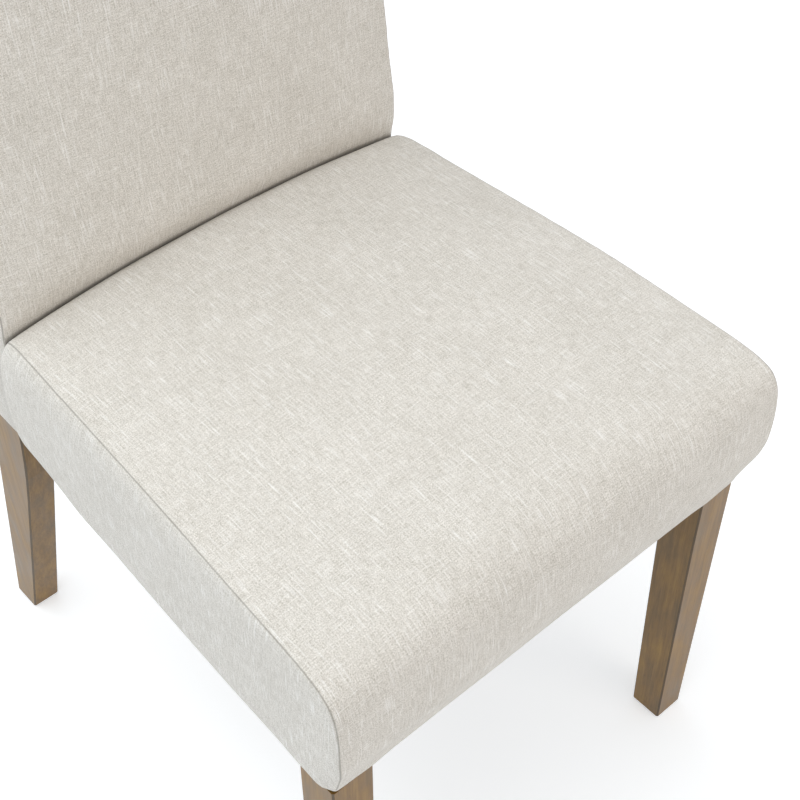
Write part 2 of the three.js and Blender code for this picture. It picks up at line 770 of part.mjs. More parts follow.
function seatWadding() {
  const outer = seatForm(skin, waddingLevel);
  return outer.subtract(seatForm(skin + waddingThickness, waddingLevel, overrun)).subtract(frameRoom());
}

// The seat's cover: the form's skin, open below, with a turned-under flange cut round the legs.
function seatCover() {
  const lip = seatPrism(clothThickness / 2, seatUnderside, seatUnderside + clothThickness);
  const opening = seatPrism(flangeWidth, seatUnderside - overrun, seatUnderside + overrun);
  let cover = seatForm(0).subtract(seatForm(clothThickness, 0, overrun)).add(lip.subtract(opening));
  for (const [, sign] of sides) cover = cover.subtract(legPocket(sign));
  return boltHoles(cover);
}

// The leg's room inside the cover, so that the flange is cut away round it.
function legPocket(sign) {
  const [near, far] = [legInner - gap, halfFront - clothThickness];
  const [x0, x1] = sign > 0 ? [near, far] : [-far, -near];
  const outline = rectangle(x0, x1, clothThickness, legSize + gap);
  return prism('z', outline, seatUnderside - overrun, railBottom);
}

function dustCover() {
  const top = legShoulder;
  const sheet = seatPrism(dustCoverMargin, top - dustCoverThickness, top);
  return sides.reduce((held, [, sign]) => held.subtract(legRoom(sign, dustCoverClearance)), sheet);
}

// A sheet in the YZ plane that follows a line of points, from one offset behind it to another.
function sheetOutline(levels, edgeAt, near, far) {
  const front = levels.map((z) => [edgeAt(z) + near, z]);
  const rear = levels.map((z) => [edgeAt(z) + far, z]).reverse();
  return [...front, ...rear];
}

function rearLevels(low, high) {
  return [low, ...rearEdge.map((p) => p[1]).filter((z) => z > low + gap && z < high - gap), high];
}

const rearAt = (z) => yAt(rearEdge, z);
const windowTop = chairHeight - backEdgeRadius - backLip;

function backStrap(share) {
  const [low, high] = [middleRailBottom + middleRailHeight, topRailTop - topRailHeight];
  const middle = low + (high - low) * share;
  const levels = [middle - backStrapWidth / 2, middle + backStrapWidth / 2];
  const outline = sheetOutline(levels, (z) => faceAt(postFront, z), -gap - strapThickness, -gap);
  return prism('x', outline, strapEndMargin - postOuter, postOuter - strapEndMargin);
}

function backFoam() {
  const behind = (z) => faceAt(postFront, z) - gap - strapThickness - gap;
  const [low, high] = [lowerRailTop + gap, postTop + gap];
  const far = rearAt(low) + postKneeDepth;
  const outline = [
    [-seatDepth, backHem - overrun], [-seatDepth, low], [behind(low), low], [behind(rakeStart), rakeStart],
    [behind(high), high], [far, high], [far, backHem - overrun],
  ];
  return backForm(skin).subtract(prism('x', outline, -frontWidth, frontWidth));
}

function rearPanel() {
  const levels = rearLevels(lowerRailBottom, windowTop + backLip / 2);
  const half = postOuter - hardboardMargin;
  return prism('x', sheetOutline(levels, rearAt, gap, gap + hardboardThickness), -half, half);
}

// The back's cover: open below, its sides turned round the posts by a lip that frames the rear panel.
function backCover() {
  const shell = backForm(0).subtract(backForm(clothThickness, overrun));
  const levels = [backHem - overrun, ...rearLevels(backHem, windowTop)];
  const outline = sheetOutline(levels, rearAt, hardboardThickness, hardboardThickness + overrun);
  const half = backHalf - backLip;
  return boltHoles(shell.subtract(prism('x', outline, -half, half)));
}

function backRearCover() {
  const levels = rearLevels(backHem, windowTop + backLip / 2);
  const near = gap + hardboardThickness + skin + gap;
  const half = backHalf - backLip / 2;
  return prism('x', sheetOutline(levels, rearAt, near, near + clothThickness), -half, half);
}

// Hardware, each made along Y with its seat at zero.
function screw() {
  return turned([
    [0, 0], [screwHeadRadius, 0], [screwRadius, screwHeadDepth],
    [screwRadius, screwLength - screwTip], [0, screwLength],
  ]);
}

function connectorBolt() {
  const length = lowerRailBack - rearRailFront + gap + boltSpare;
  return turned([
    [0, -boltHeadThickness], [boltHeadRadius, -boltHeadThickness], [boltHeadRadius, 0],
    [boltRadius, 0], [boltRadius, length], [0, length],
  ]);
}

function ring(outer, inner, thickness) {
  const bar = rod([0, 0, 0], [0, thickness, 0], outer);
  return bar.subtract(rod([0, -overrun, 0], [0, thickness + overrun, 0], clearOf(inner)));
}

function nut() {
  const radius = nutAcrossFlats / Math.sqrt(3);
  const hexagon = solidOf(new THREE.CylinderGeometry(radius, radius, nutThickness, nutSides));
  const bore = rod([0, -nutThickness, 0], [0, nutThickness, 0], clearOf(hangerRadius));
  return hexagon.subtract(bore);
}

function teeNut() {
  const flange = rod([0, 0, 0], [0, teeFlangeThickness, 0], teeFlangeRadius);
  const barrel = rod([0, -teeBarrelLength, 0], [0, teeFlangeThickness / 2, 0], teeBarrelRadius);
  const bore = rod([0, -teeBarrelLength - overrun, 0], [0, overrun, 0], clearOf(boltRadius));
  return flange.add(barrel).subtract(bore);
}

function glide() {
  const nailEnd = glideThickness + nailLength;
  return turned([
    [0, 0], [glideRadius, 0], [glideRadius, glideThickness],
    [nailRadius, glideThickness], [nailRadius, nailEnd], [0, nailEnd],
  ]);
}

function addLegs() {
  for (const [side, sign] of sides) {
    add(legs, `front_leg_${side}`, frontLeg(sign), stainedWood);
    add(legs, `front_glide_${side}`, glide(), nylon, frontGlidePlace(sign), [0, 0, 1]);
    add(legs, `rear_glide_${side}`, glide(), nylon, rearGlidePlace(sign), [0, 0, 1]);
    addHanger(side, sign);
  }
}

// A hanger bolt holds each front leg to its corner block, with a washer and a nut on the block's face.
function addHanger(side, sign) {
  const away = hangerWay(sign).map((v) => -v);
  const start = along(hangerCorner(sign), hangerWay(sign), hangerInLeg);
  const washerSeat = blockDepth + gap;
  const nutSeat = washerSeat + washerThickness + gap + nutThickness / 2;
  const bar = rod([0, 0, 0], [0, hangerInLeg + hangerTail, 0], hangerRadius);
  add(legs, `hanger_bolt_${side}`, bar, zincSteel, start, away);
  add(legs, `leg_washer_${side}`, ring(washerRadius, hangerRadius, washerThickness), zincSteel,
    along(hangerCorner(sign), away, washerSeat), away);
  add(legs, `leg_nut_${side}`, nut(), zincSteel, along(hangerCorner(sign), away, nutSeat), away);
}

function addBlock(end, side, sign, solid, screws) {
  add(seat, `${end}_block_${side}`, solid, frameWood);
  screws.forEach((piece, k) => {
    const { place, direction } = screwPlace(piece, sign);
    add(seat, `${end}_block_screw_${side}_${k + 1}`, screw(), zincSteel, place, direction);
  });
}

function addSeat() {
  add(seat, 'seat_front_rail', frontRail(), frameWood);
  add(seat, 'seat_rear_rail', rearRail(), frameWood);
  for (const [side, sign] of sides) {
    add(seat, `seat_side_rail_${side}`, sideRail(sign), frameWood);
    addBlock('front', side, sign, frontBlock(sign), frontScrews);
    addBlock('rear', side, sign, rearBlock(sign), rearScrews);
  }
  strapMiddles.forEach((middle, k) => add(seat, `seat_strap_long_${k + 1}`, longStrap(k), strapWeave));
  crossMiddles.forEach((middle, k) => add(seat, `seat_strap_cross_${k + 1}`, crossStrap(k), strapWeave));
  add(seat, 'seat_foam', seatFoam(), foamFill);
  add(seat, 'seat_wadding', seatWadding(), wadding);
  add(seat, 'seat_cover', seatCover(), linen);
  add(seat, 'dust_cover', dustCover(), blackCloth);
}

function addBack() {
  for (const [side, sign] of sides) add(back, `back_post_${side}`, post(sign), stainedWood);
  add(back, 'back_lower_rail', lowerRail(), frameWood);
  for (const [name, low, high] of backRails) add(back, name, backRail(low, high), frameWood);
  backStrapShares.forEach((share, k) => add(back, `back_strap_${k + 1}`, backStrap(share), strapWeave));
  add(back, 'back_foam', backFoam(), foamFill);
  add(back, 'back_hardboard', rearPanel(), hardboard);
  add(back, 'back_cover', backCover(), linen);
  add(back, 'back_rear_cover', backRearCover(), linen);
}

function addConnectors() {
  boltPlaces.forEach((x, k) => {
    const head = [x, rearRailFront - gap, boltHeight];
    add(seat, `seat_bolt_${k + 1}`, connectorBolt(), zincSteel, head, [0, 1, 0]);
    add(back, `tee_nut_${k + 1}`, teeNut(), zincSteel, [x, lowerRailBack + gap, boltHeight], [0, 1, 0]);
  });
}

addLegs();
addSeat();
addBack();
addConnectors();

// The origin is on the floor, under the middle of the chair's footprint.
const bounds = new THREE.Box3().setFromObject(chair);
chair.position.y = -(bounds.min.y + bounds.max.y) / 2;

export default chair;
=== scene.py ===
# %% [markdown]
# # An upholstered parsons chair
# The frame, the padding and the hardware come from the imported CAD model, and this lesson dresses them:
# linen covers with sewn seams, stained wood, and what can be seen from behind and below.
# Lengths are in metres, apart from the cells on form, which are in millimetres and say so. Every piece is
# placed where the CAD model has it.

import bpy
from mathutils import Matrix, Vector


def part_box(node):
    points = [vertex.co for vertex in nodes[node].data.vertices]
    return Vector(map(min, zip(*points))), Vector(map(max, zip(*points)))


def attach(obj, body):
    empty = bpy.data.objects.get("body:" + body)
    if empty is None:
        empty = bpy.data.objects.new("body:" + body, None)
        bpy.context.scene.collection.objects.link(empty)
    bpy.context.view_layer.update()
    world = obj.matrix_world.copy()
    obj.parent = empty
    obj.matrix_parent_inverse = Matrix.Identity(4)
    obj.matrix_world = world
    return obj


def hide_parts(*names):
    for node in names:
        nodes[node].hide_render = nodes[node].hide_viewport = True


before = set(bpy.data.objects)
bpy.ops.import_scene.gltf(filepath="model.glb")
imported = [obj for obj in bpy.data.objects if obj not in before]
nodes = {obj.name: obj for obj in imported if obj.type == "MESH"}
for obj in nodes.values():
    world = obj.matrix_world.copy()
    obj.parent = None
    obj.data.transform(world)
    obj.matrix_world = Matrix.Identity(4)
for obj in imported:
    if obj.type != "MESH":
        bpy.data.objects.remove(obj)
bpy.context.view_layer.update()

# %% The rest of what this script imports
import math

import bmesh
import bpy
from mathutils import Vector, kdtree, noise

mm = 0.001

# %% [markdown]
# ## Camera
# The picture looks down on the seat from the front left. A camera needs a place, a direction and a
# focal length. These were fitted to the legs' corners, the sewn seam and the seat's outline, so they are
# typed in and not guessed.

# %% Camera
camera_place = Vector((-0.5562, -0.7231, 1.3488))
towards_camera = Vector((-0.4586, -0.5150, 0.7242))

bpy.ops.object.camera_add(location=camera_place)
camera = bpy.context.object
camera.name = "photo_camera"
camera.rotation_euler = (-towards_camera).to_track_quat("-Z", "Y").to_euler()
camera.data.lens = 67.37
camera.data.sensor_width = 36
bpy.context.scene.camera = camera
print("camera at", tuple(camera.location), "lens", camera.data.lens)

# %% [markdown]
# ## Small helpers
# Most tools in edit mode act on what is selected, and a new primitive is selected all over. So each
# step starts from nothing selected, and picks faces or edges by where they are.

# %% Helpers for selecting and naming


def deselect_all():
    bpy.ops.object.select_all(action="DESELECT")


def pick(piece):
    deselect_all()
    piece.select_set(True)
    bpy.context.view_layer.objects.active = piece
    return piece


def named(name):
    piece = bpy.context.object
    piece.name = name
    piece.data.name = name
    return piece


deselect_all()
print("selected now:", len(bpy.context.selected_objects))

# %% [markdown]
# ## Colours and nodes
# A colour picker shows sRGB, but a shader works in linear light, so every hex colour goes through one
# function. A second one adds any kind of node with its settings and links, which keeps a finish short.

# %% Helpers for colours and nodes


def colour(code):
    """An sRGB hex colour as the linear values that a shader wants."""
    parts = [int(code[k:k + 2], 16) / 255 for k in (1, 3, 5)]
    linear = [c / 12.92 if c <= 0.04045 else ((c + 0.055) / 1.055) ** 2.4 for c in parts]
    return (*linear, 1.0)


def add(tree, kind, sockets=None, stops=(), **settings):
    """Adds one node. Settings go by property or socket name, a socket gets a link or a value, and the
    stops of a colour ramp are (place, hex colour) rows."""
    node = tree.nodes.new(kind)
    for name, value in settings.items():
        if hasattr(node, name):
            setattr(node, name, value)
        else:
            node.inputs[name.replace("_", " ")].default_value = value
    for socket, source in (sockets or {}).items():
        if isinstance(source, bpy.types.NodeSocket):
            tree.links.new(source, node.inputs[socket])
        else:
            node.inputs[socket].default_value = source
    if stops:
        ramp = node.color_ramp
        while len(ramp.elements) < len(stops):
            ramp.elements.new(0.5)
        for element, (place, code) in zip(ramp.elements, stops):
            element.position = place
            element.color = colour(code)
    return node


def new_material(name, look):
    """A material with its Principled shader, whose fixed values sit on the shader's own sockets."""
    material = bpy.data.materials.new(name)
    material.use_nodes = True
    tree = material.node_tree
    shader = tree.nodes["Principled BSDF"]
    for socket, value in look.items():
        shader.inputs[socket].default_value = value
    return material, tree, shader


print("mid grey in linear light:", round(colour("#808080")[0], 3))

# %% [markdown]
# ## Floor and light
# In a studio the chair stands on a white paper sweep, and bright light leaves only a soft part of its
# shadow. More light would do that here too, but it would also bleach the linen. So the floor glows a
# little, and only to the camera and to reflections. Far from the chair the lamps reach it less, so it
# glows more there.

# %% Floor
bpy.ops.mesh.primitive_plane_add(size=24)
floor = named("studio_floor")

paper, tree, shader = new_material("white_paper_sweep", {"Roughness": 0.9, "Specular IOR Level": 0.1})
shader.inputs["Base Color"].default_value = colour("#f4f6f8")
ray = add(tree, "ShaderNodeLightPath")
seen = add(tree, "ShaderNodeMath", {0: ray.outputs["Is Camera Ray"], 1: ray.outputs["Is Glossy Ray"]},
           operation="MAXIMUM")
seen = add(tree, "ShaderNodeMath", {0: seen.outputs[0], 1: ray.outputs["Is Transmission Ray"]},
           operation="MAXIMUM")
reach = add(tree, "ShaderNodeVectorMath", {0: add(tree, "ShaderNodeTexCoord").outputs["Object"]},
            operation="LENGTH")
near, far = 1.2, 3.0
share_near, share_far = 0.16, 0.33
whiter = add(tree, "ShaderNodeMapRange", {"Value": reach.outputs["Value"]},
             From_Min=near, From_Max=far, To_Min=share_near, To_Max=share_far)
share = add(tree, "ShaderNodeMath", {0: seen.outputs[0], 1: whiter.outputs["Result"]}, operation="MULTIPLY")
glow = add(tree, "ShaderNodeEmission", Color=(1.0, 1.0, 1.0, 1.0), Strength=3.1)
mixed = add(tree, "ShaderNodeMixShader", {0: share.outputs[0], 1: shader.outputs[0], 2: glow.outputs[0]})
tree.links.new(mixed.outputs[0], tree.nodes["Material Output"].inputs["Surface"])
floor.data.materials.append(paper)
print("floor", floor.dimensions[:])

# %% [markdown]
# ## Air and lamps
# Light from all round could come from a picture of a studio. Here a pale world and three large lamps give
# it, because each can be turned up or down alone: a broad one overhead, a cool one at the left, and a warm
# one in front. To the camera and to reflections the world is plain white.

# %% World and lamps
world = bpy.data.worlds.new("studio_air")
bpy.context.scene.world = world
world.use_nodes = True
tree = world.node_tree
ray = add(tree, "ShaderNodeLightPath")
seen = add(tree, "ShaderNodeMath", {0: ray.outputs["Is Camera Ray"], 1: ray.outputs["Is Glossy Ray"]},
           operation="MAXIMUM")
lit = tree.nodes["Background"]
lit.inputs["Color"].default_value = (0.96, 0.98, 1.0, 1.0)
lit.inputs["Strength"].default_value = 0.55
white = add(tree, "ShaderNodeBackground", Color=(1.0, 1.0, 1.0, 1.0), Strength=1.0)
mixed = add(tree, "ShaderNodeMixShader", {0: seen.outputs[0], 1: lit.outputs[0], 2: white.outputs[0]})
tree.links.new(mixed.outputs[0], tree.nodes["World Output"].inputs["Surface"])


def soft_lamp(name, place, aim, size, watts, tint):
    bpy.ops.object.light_add(type="AREA", location=place)
    lamp = bpy.context.object
    lamp.name = name
    lamp.data.size = size
    lamp.data.energy = watts
    lamp.data.color = tint
    lamp.rotation_euler = (Vector(aim) - Vector(place)).to_track_quat("-Z", "Y").to_euler()
    return lamp


soft_lamp("overhead_softbox", (-0.6, 0.5, 2.8), (0, 0, 0.5), 2.2, 38.5, (0.94, 0.98, 1.0))
soft_lamp("left_softbox", (-2.6, -0.6, 1.3), (0, 0, 0.4), 1.8, 13, (0.86, 0.94, 1.0))
soft_lamp("front_softbox", (0.9, -2.9, 1.5), (0, 0, 0.6), 1.8, 20, (1.0, 0.90, 0.80))
bpy.context.scene.view_settings.view_transform = "Standard"

# %% [markdown]
# ## Materials
# Each finish is built from a few noises laid one over another, and each pattern has a real size. In the
# picture a pixel covers about 0.8 mm of the seat, so a pattern finer than that is drawn coarser. A place
# is divided by the pattern's size before the noise reads it, which makes the pattern that large.

# %% Sizes of patterns


def per_metre(*sizes):
    """How many times each size, given in millimetres, fits in a metre."""
    return tuple(1 / (size * mm) for size in sizes)


print("a pattern of 1.4 mm fits", round(per_metre(1.4)[0]), "times in a metre")

# %% [markdown]
# ## Linen
# The covers are undyed linen in plain weave, from yarn that was spun thick and thin. A picture of cloth
# could give it, but noises stretched along each yarn never repeat. They follow the flat pattern of the
# panels, so the weave runs as it was cut. Such yarn gives pale streaks both ways, on a matt and faintly
# fuzzy ground. Real yarns here are about 0.5 mm apart. That is finer than a pixel, so the grain is drawn
# at 1 to 1.5 mm.

# %% Linen
linen_noises = (("warp", (1.4, 12), 2.0, 0.6), ("weft", (11, 1.5), 2.0, 0.6),
                ("heather", (1.05, 1.05), 1.0, 0.7), ("cloud", (60, 80), 3.0, 0.6),
                ("thread", (1.4, 24), 1.0, 0.6), ("cross", (20, 1.4), 1.0, 0.6),
                ("groups", (18, 60), 2.0, 0.6))


def linen_cloth(name, dark, light, slub):
    """Yarns up and across the cloth with a heathered grain, paler where a thread is thick, and with shade
    painted dark in the seams and the fold by the seat, where little light gets in."""
    material, tree, shader = new_material(name, {
        "Roughness": 0.92, "Specular IOR Level": 0.18, "Sheen Weight": 0.12, "Sheen Roughness": 0.55})
    place = add(tree, "ShaderNodeUVMap", uv_map="weave").outputs["UV"]
    noises = {}
    for layer, size, detail, roughness in linen_noises:
        stretched = add(tree, "ShaderNodeVectorMath", {0: place, 1: (*per_metre(*size), 1.0)},
                        operation="MULTIPLY")
        noises[layer] = add(tree, "ShaderNodeTexNoise", {"Vector": stretched.outputs[0]},
                            Scale=1.0, Detail=detail, Roughness=roughness).outputs["Fac"]
    # The grain of the yarns, from dark to light.
    tone = 0.0
    for layer, weight in (("warp", 0.23), ("weft", 0.17), ("heather", 0.52), ("cloud", 0.08)):
        tone = add(tree, "ShaderNodeMath", {0: noises[layer], 1: weight, 2: tone},
                   operation="MULTIPLY_ADD").outputs[0]
    tone = add(tree, "ShaderNodeMapRange", {"Value": tone}, From_Min=0.35, From_Max=0.65).outputs[0]
    body = add(tree, "ShaderNodeValToRGB", {"Fac": tone}, stops=((0.0, dark), (1.0, light))).outputs[0]
    # Thick threads: streaks up the cloth that come in groups, and streaks across it.
    thick = add(tree, "ShaderNodeMapRange", {"Value": noises["thread"]}, From_Min=0.53, From_Max=0.75)
    grouped = add(tree, "ShaderNodeMapRange", {"Value": noises["groups"]},
                  From_Min=0.40, From_Max=0.64, To_Min=0.3)
    streak = add(tree, "ShaderNodeMath", {0: thick.outputs[0], 1: grouped.outputs[0]}, operation="MULTIPLY")
    across = add(tree, "ShaderNodeMapRange", {"Value": noises["cross"]}, From_Min=0.57, From_Max=0.8)
    slubs = 0.0
    for source, weight in ((streak, 0.62), (across, 0.36)):
        slubs = add(tree, "ShaderNodeMath", {0: source.outputs[0], 1: weight, 2: slubs},
                    operation="MULTIPLY_ADD").outputs[0]
    body = add(tree, "ShaderNodeMix", {0: slubs, 6: body, 7: colour(slub)}, data_type="RGBA").outputs[2]
    # Painted shade in the seams, and a deeper one in the fold, where the stored distance is below 0.
    seam = add(tree, "ShaderNodeAttribute", attribute_name="seam_gap").outputs["Fac"]
    crease = add(tree, "ShaderNodeMapRange", {"Value": seam}, interpolation_type="SMOOTHSTEP",
                 From_Min=0.2 * mm, From_Max=1.1 * mm, To_Min=0.55, To_Max=0.0)
    fold = add(tree, "ShaderNodeMapRange", {"Value": seam},
               From_Min=-0.9 * mm, From_Max=0.0, To_Min=0.8, To_Max=0.0)
    for shade, code in ((crease, "#6f675b"), (fold, "#3b332a")):
        body = add(tree, "ShaderNodeMix", {0: shade.outputs[0], 6: body, 7: colour(code)},
                   data_type="RGBA").outputs[2]
    tree.links.new(body, shader.inputs["Base Color"])
    relief = 0.0
    for source, weight in ((noises["warp"], 0.5), (noises["weft"], 0.5), (noises["heather"], 0.4),
                           (slubs, 0.5)):
        relief = add(tree, "ShaderNodeMath", {0: source, 1: weight, 2: relief},
                     operation="MULTIPLY_ADD").outputs[0]
    bump = add(tree, "ShaderNodeBump", {"Height": relief}, Strength=0.8, Distance=0.35 * mm)
    tree.links.new(bump.outputs["Normal"], shader.inputs["Normal"])
    return material


natural_linen = linen_cloth("natural_heathered_linen", "#b4ada1", "#f5f0e9", "#fdfbf8")
print(natural_linen.name, len(natural_linen.node_tree.nodes), "nodes")

# %% [markdown]
# ## Stained and lacquered wood
# The legs are hardwood: sanded, wiped with a greyed brown stain, and sprayed with a satin lacquer. A
# picture of a board could be put on each face. A pattern in space runs through the whole leg instead, and
# meets itself at every corner. The stain gathers in the pores and on the eased edges, where the sanded
# grain is open, so both are darker than the flat faces. Such pores are 0.1 to 0.2 mm wide and are drawn at
# 0.9 mm, or they wouldn't show.

# %% Stained wood
stain_noises = (("grain", (7, 7, 90), 4.0, 0.62), ("fine", (1.5, 1.5, 45), 3.0, 0.6),
                ("pores", (0.9, 0.9, 14), 1.0, 0.5), ("blotch", (20, 20, 48), 3.0, 0.55))


def stained_timber(name):
    """Long grain and soft blotches in the stain, with dark pores and dark eased edges, under lacquer."""
    material, tree, shader = new_material(name, {
        "Roughness": 0.42, "Specular IOR Level": 0.35, "Coat Weight": 0.12, "Coat Roughness": 0.34})
    place = add(tree, "ShaderNodeTexCoord").outputs["Object"]
    noises = {}
    for layer, size, detail, roughness in stain_noises:
        stretched = add(tree, "ShaderNodeVectorMath", {0: place, 1: per_metre(*size)}, operation="MULTIPLY")
        noises[layer] = add(tree, "ShaderNodeTexNoise", {"Vector": stretched.outputs[0]},
                            Scale=1.0, Detail=detail, Roughness=roughness).outputs["Fac"]
    tone = 0.0
    for layer, weight in (("grain", 0.46), ("fine", 0.24), ("blotch", 0.5)):
        tone = add(tree, "ShaderNodeMath", {0: noises[layer], 1: weight, 2: tone},
                   operation="MULTIPLY_ADD").outputs[0]
    tone = add(tree, "ShaderNodeMapRange", {"Value": tone}, From_Min=0.38, From_Max=0.82).outputs[0]
    body = add(tree, "ShaderNodeValToRGB", {"Fac": tone},
               stops=((0.0, "#5a4318"), (0.5, "#7e5e2e"), (1.0, "#9e7b40"))).outputs[0]
    # A leg's face points along x or y, and an eased edge between them, so x times y finds the edges.
    facing = add(tree, "ShaderNodeSeparateXYZ",
                 {0: add(tree, "ShaderNodeNewGeometry").outputs["Normal"]})
    product = add(tree, "ShaderNodeMath", {0: facing.outputs["X"], 1: facing.outputs["Y"]},
                  operation="MULTIPLY")
    turned = add(tree, "ShaderNodeMath", {0: product.outputs[0]}, operation="ABSOLUTE")
    in_pores = add(tree, "ShaderNodeMapRange", {"Value": noises["pores"]},
                   From_Min=0.66, From_Max=0.78, To_Max=0.5)
    on_edges = add(tree, "ShaderNodeMapRange", {"Value": turned.outputs[0]},
                   From_Min=0.1, From_Max=0.34, To_Max=0.75)
    for shade, code in ((in_pores, "#3f3022"), (on_edges, "#33260f")):
        body = add(tree, "ShaderNodeMix", {0: shade.outputs[0], 6: body, 7: colour(code)},
                   data_type="RGBA").outputs[2]
    tree.links.new(body, shader.inputs["Base Color"])
    satin = add(tree, "ShaderNodeMapRange", {"Value": noises["blotch"]},
                From_Min=0.3, From_Max=0.7, To_Min=0.36, To_Max=0.5)
    tree.links.new(satin.outputs[0], shader.inputs["Roughness"])
    relief = 0.0
    for layer, weight in (("fine", 0.5), ("pores", 0.4)):
        relief = add(tree, "ShaderNodeMath", {0: noises[layer], 1: weight, 2: relief},
                     operation="MULTIPLY_ADD").outputs[0]
    bump = add(tree, "ShaderNodeBump", {"Height": relief}, Strength=0.6, Distance=0.12 * mm)
    tree.links.new(bump.outputs["Normal"], shader.inputs["Normal"])
    return material


walnut_stain = stained_timber("greyed_walnut_stain")
print(walnut_stain.name, len(walnut_stain.node_tree.nodes), "nodes")

# %% [markdown]
# ## Bare wood
# The rails and blocks are planed pine. They are left bare, because only the back's lower rail can be seen,
# from below. Slow and fast growth give pine soft bands along the board. One long noise draws them, and it
# runs along x as that rail does.

# %% Plain wood


def plain_timber(name, dark, light, pore):
    """Planed softwood with long soft bands and short fine pores."""
    material, tree, shader = new_material(name, {"Roughness": 0.7, "Specular IOR Level": 0.3})
    place = add(tree, "ShaderNodeTexCoord").outputs["Object"]
    noises = {}
    for layer, size, detail in (("grain", (160, 9, 9), 4.0), ("fine", (40, 1.6, 1.6), 2.0)):
        stretched = add(tree, "ShaderNodeVectorMath", {0: place, 1: per_metre(*size)}, operation="MULTIPLY")
        noises[layer] = add(tree, "ShaderNodeTexNoise", {"Vector": stretched.outputs[0]},
                            Scale=1.0, Detail=detail, Roughness=0.6).outputs["Fac"]
    tone = 0.0
    for layer, weight in (("grain", 0.7), ("fine", 0.3)):
        tone = add(tree, "ShaderNodeMath", {0: noises[layer], 1: weight, 2: tone},
                   operation="MULTIPLY_ADD").outputs[0]
    tone = add(tree, "ShaderNodeMapRange", {"Value": tone}, From_Min=0.3, From_Max=0.7).outputs[0]
    body = add(tree, "ShaderNodeValToRGB", {"Fac": tone}, stops=((0.0, dark), (1.0, light))).outputs[0]
    in_pores = add(tree, "ShaderNodeMapRange", {"Value": noises["fine"]},
                   From_Min=0.64, From_Max=0.76, To_Max=0.4)
    body = add(tree, "ShaderNodeMix", {0: in_pores.outputs[0], 6: body, 7: colour(pore)},
               data_type="RGBA").outputs[2]
    tree.links.new(body, shader.inputs["Base Color"])
    bump = add(tree, "ShaderNodeBump", {"Height": noises["fine"]}, Strength=0.6, Distance=0.15 * mm)
    tree.links.new(bump.outputs["Normal"], shader.inputs["Normal"])
    return material


bare_pine = plain_timber("planed_pine", "#c79f6c", "#e2c493", "#a87c4c")
print(bare_pine.name, len(bare_pine.node_tree.nodes), "nodes")

# %% [markdown]
# ## The small finishes
# Plated steel, moulded nylon, board, foam, fleece and spunbond cloth have no direction of their own. One
# even grain fits them all, with its own size and colours for each, and a wider noise keeps it from looking
# printed. Grains under 1 mm are coarser than the real ones, which are too small to show.

# %% One even grain


def speckled(name, look, size, dark, light, relief):
    """A finish with one even grain. Its size and its relief are in millimetres."""
    material, tree, shader = new_material(name, look)
    place = add(tree, "ShaderNodeTexCoord").outputs["Object"]
    noises = []
    for width, detail, roughness in ((size, 3.0, 0.6), (12 * size, 2.0, 0.5)):
        stretched = add(tree, "ShaderNodeVectorMath", {0: place, 1: per_metre(width, width, width)},
                        operation="MULTIPLY")
        noises.append(add(tree, "ShaderNodeTexNoise", {"Vector": stretched.outputs[0]},
                          Scale=1.0, Detail=detail, Roughness=roughness).outputs["Fac"])
    tone = 0.0
    for source, weight in zip(noises, (0.65, 0.35)):
        tone = add(tree, "ShaderNodeMath", {0: source, 1: weight, 2: tone},
                   operation="MULTIPLY_ADD").outputs[0]
    tone = add(tree, "ShaderNodeMapRange", {"Value": tone}, From_Min=0.32, From_Max=0.68).outputs[0]
    body = add(tree, "ShaderNodeValToRGB", {"Fac": tone}, stops=((0.0, dark), (1.0, light))).outputs[0]
    tree.links.new(body, shader.inputs["Base Color"])
    bump = add(tree, "ShaderNodeBump", {"Height": noises[0]}, Strength=0.7, Distance=relief * mm)
    tree.links.new(bump.outputs["Normal"], shader.inputs["Normal"])
    return material


# Plated in a rolling barrel: bright, with a soft mottle.
zinc = speckled("bright_zinc_plating", {"Metallic": 1.0, "Roughness": 0.34}, 0.8,
                "#a9acae", "#c9cccf", 0.03)
# Moulded in a plain tool: satin, and almost even.
nylon = speckled("moulded_brown_nylon", {"Roughness": 0.5}, 0.7, "#3b2f26", "#4a3c31", 0.05)
# Wood fibre pressed hot and hard: dark, smooth and finely flecked.
hardboard = speckled("tempered_hardboard", {"Roughness": 0.6}, 1.2, "#4e3724", "#6d5036", 0.1)
# Foam sawn from a block: open cells, so it is matt and finely pitted.
foam = speckled("polyurethane_foam", {"Roughness": 0.95, "Specular IOR Level": 0.1}, 1.6,
                "#d9d4b4", "#efeacb", 0.5)
# Crimped fibre blown into a fleece: white, matt and soft-edged.
fleece_white = speckled("polyester_wadding", {"Roughness": 1.0, "Specular IOR Level": 0.05}, 3.0,
                        "#e6e7e6", "#fafafa", 0.8)
# Filaments fused hot into a thin cloth: flat black with a faint fleck.
spunbond = speckled("black_spunbond_cloth", {"Roughness": 0.85, "Specular IOR Level": 0.2}, 1.4,
                    "#131314", "#26272a", 0.15)
print(len(bpy.data.materials), "materials so far")

# %% [markdown]
# ## Jute webbing
# Webbing is woven from thick jute yarns, about 4 mm apart across and 5 mm along, so single yarns can be
# seen. A real weave could be modelled, but it is hidden, so two crossed waves give the ribs of the yarns.

# %% Webbing cloth
crosswise_yarn, lengthwise_yarn = 4 * mm, 5 * mm
# A wave texture of scale 1 makes a little over three waves in one unit.
waves_in_unit = 3.14


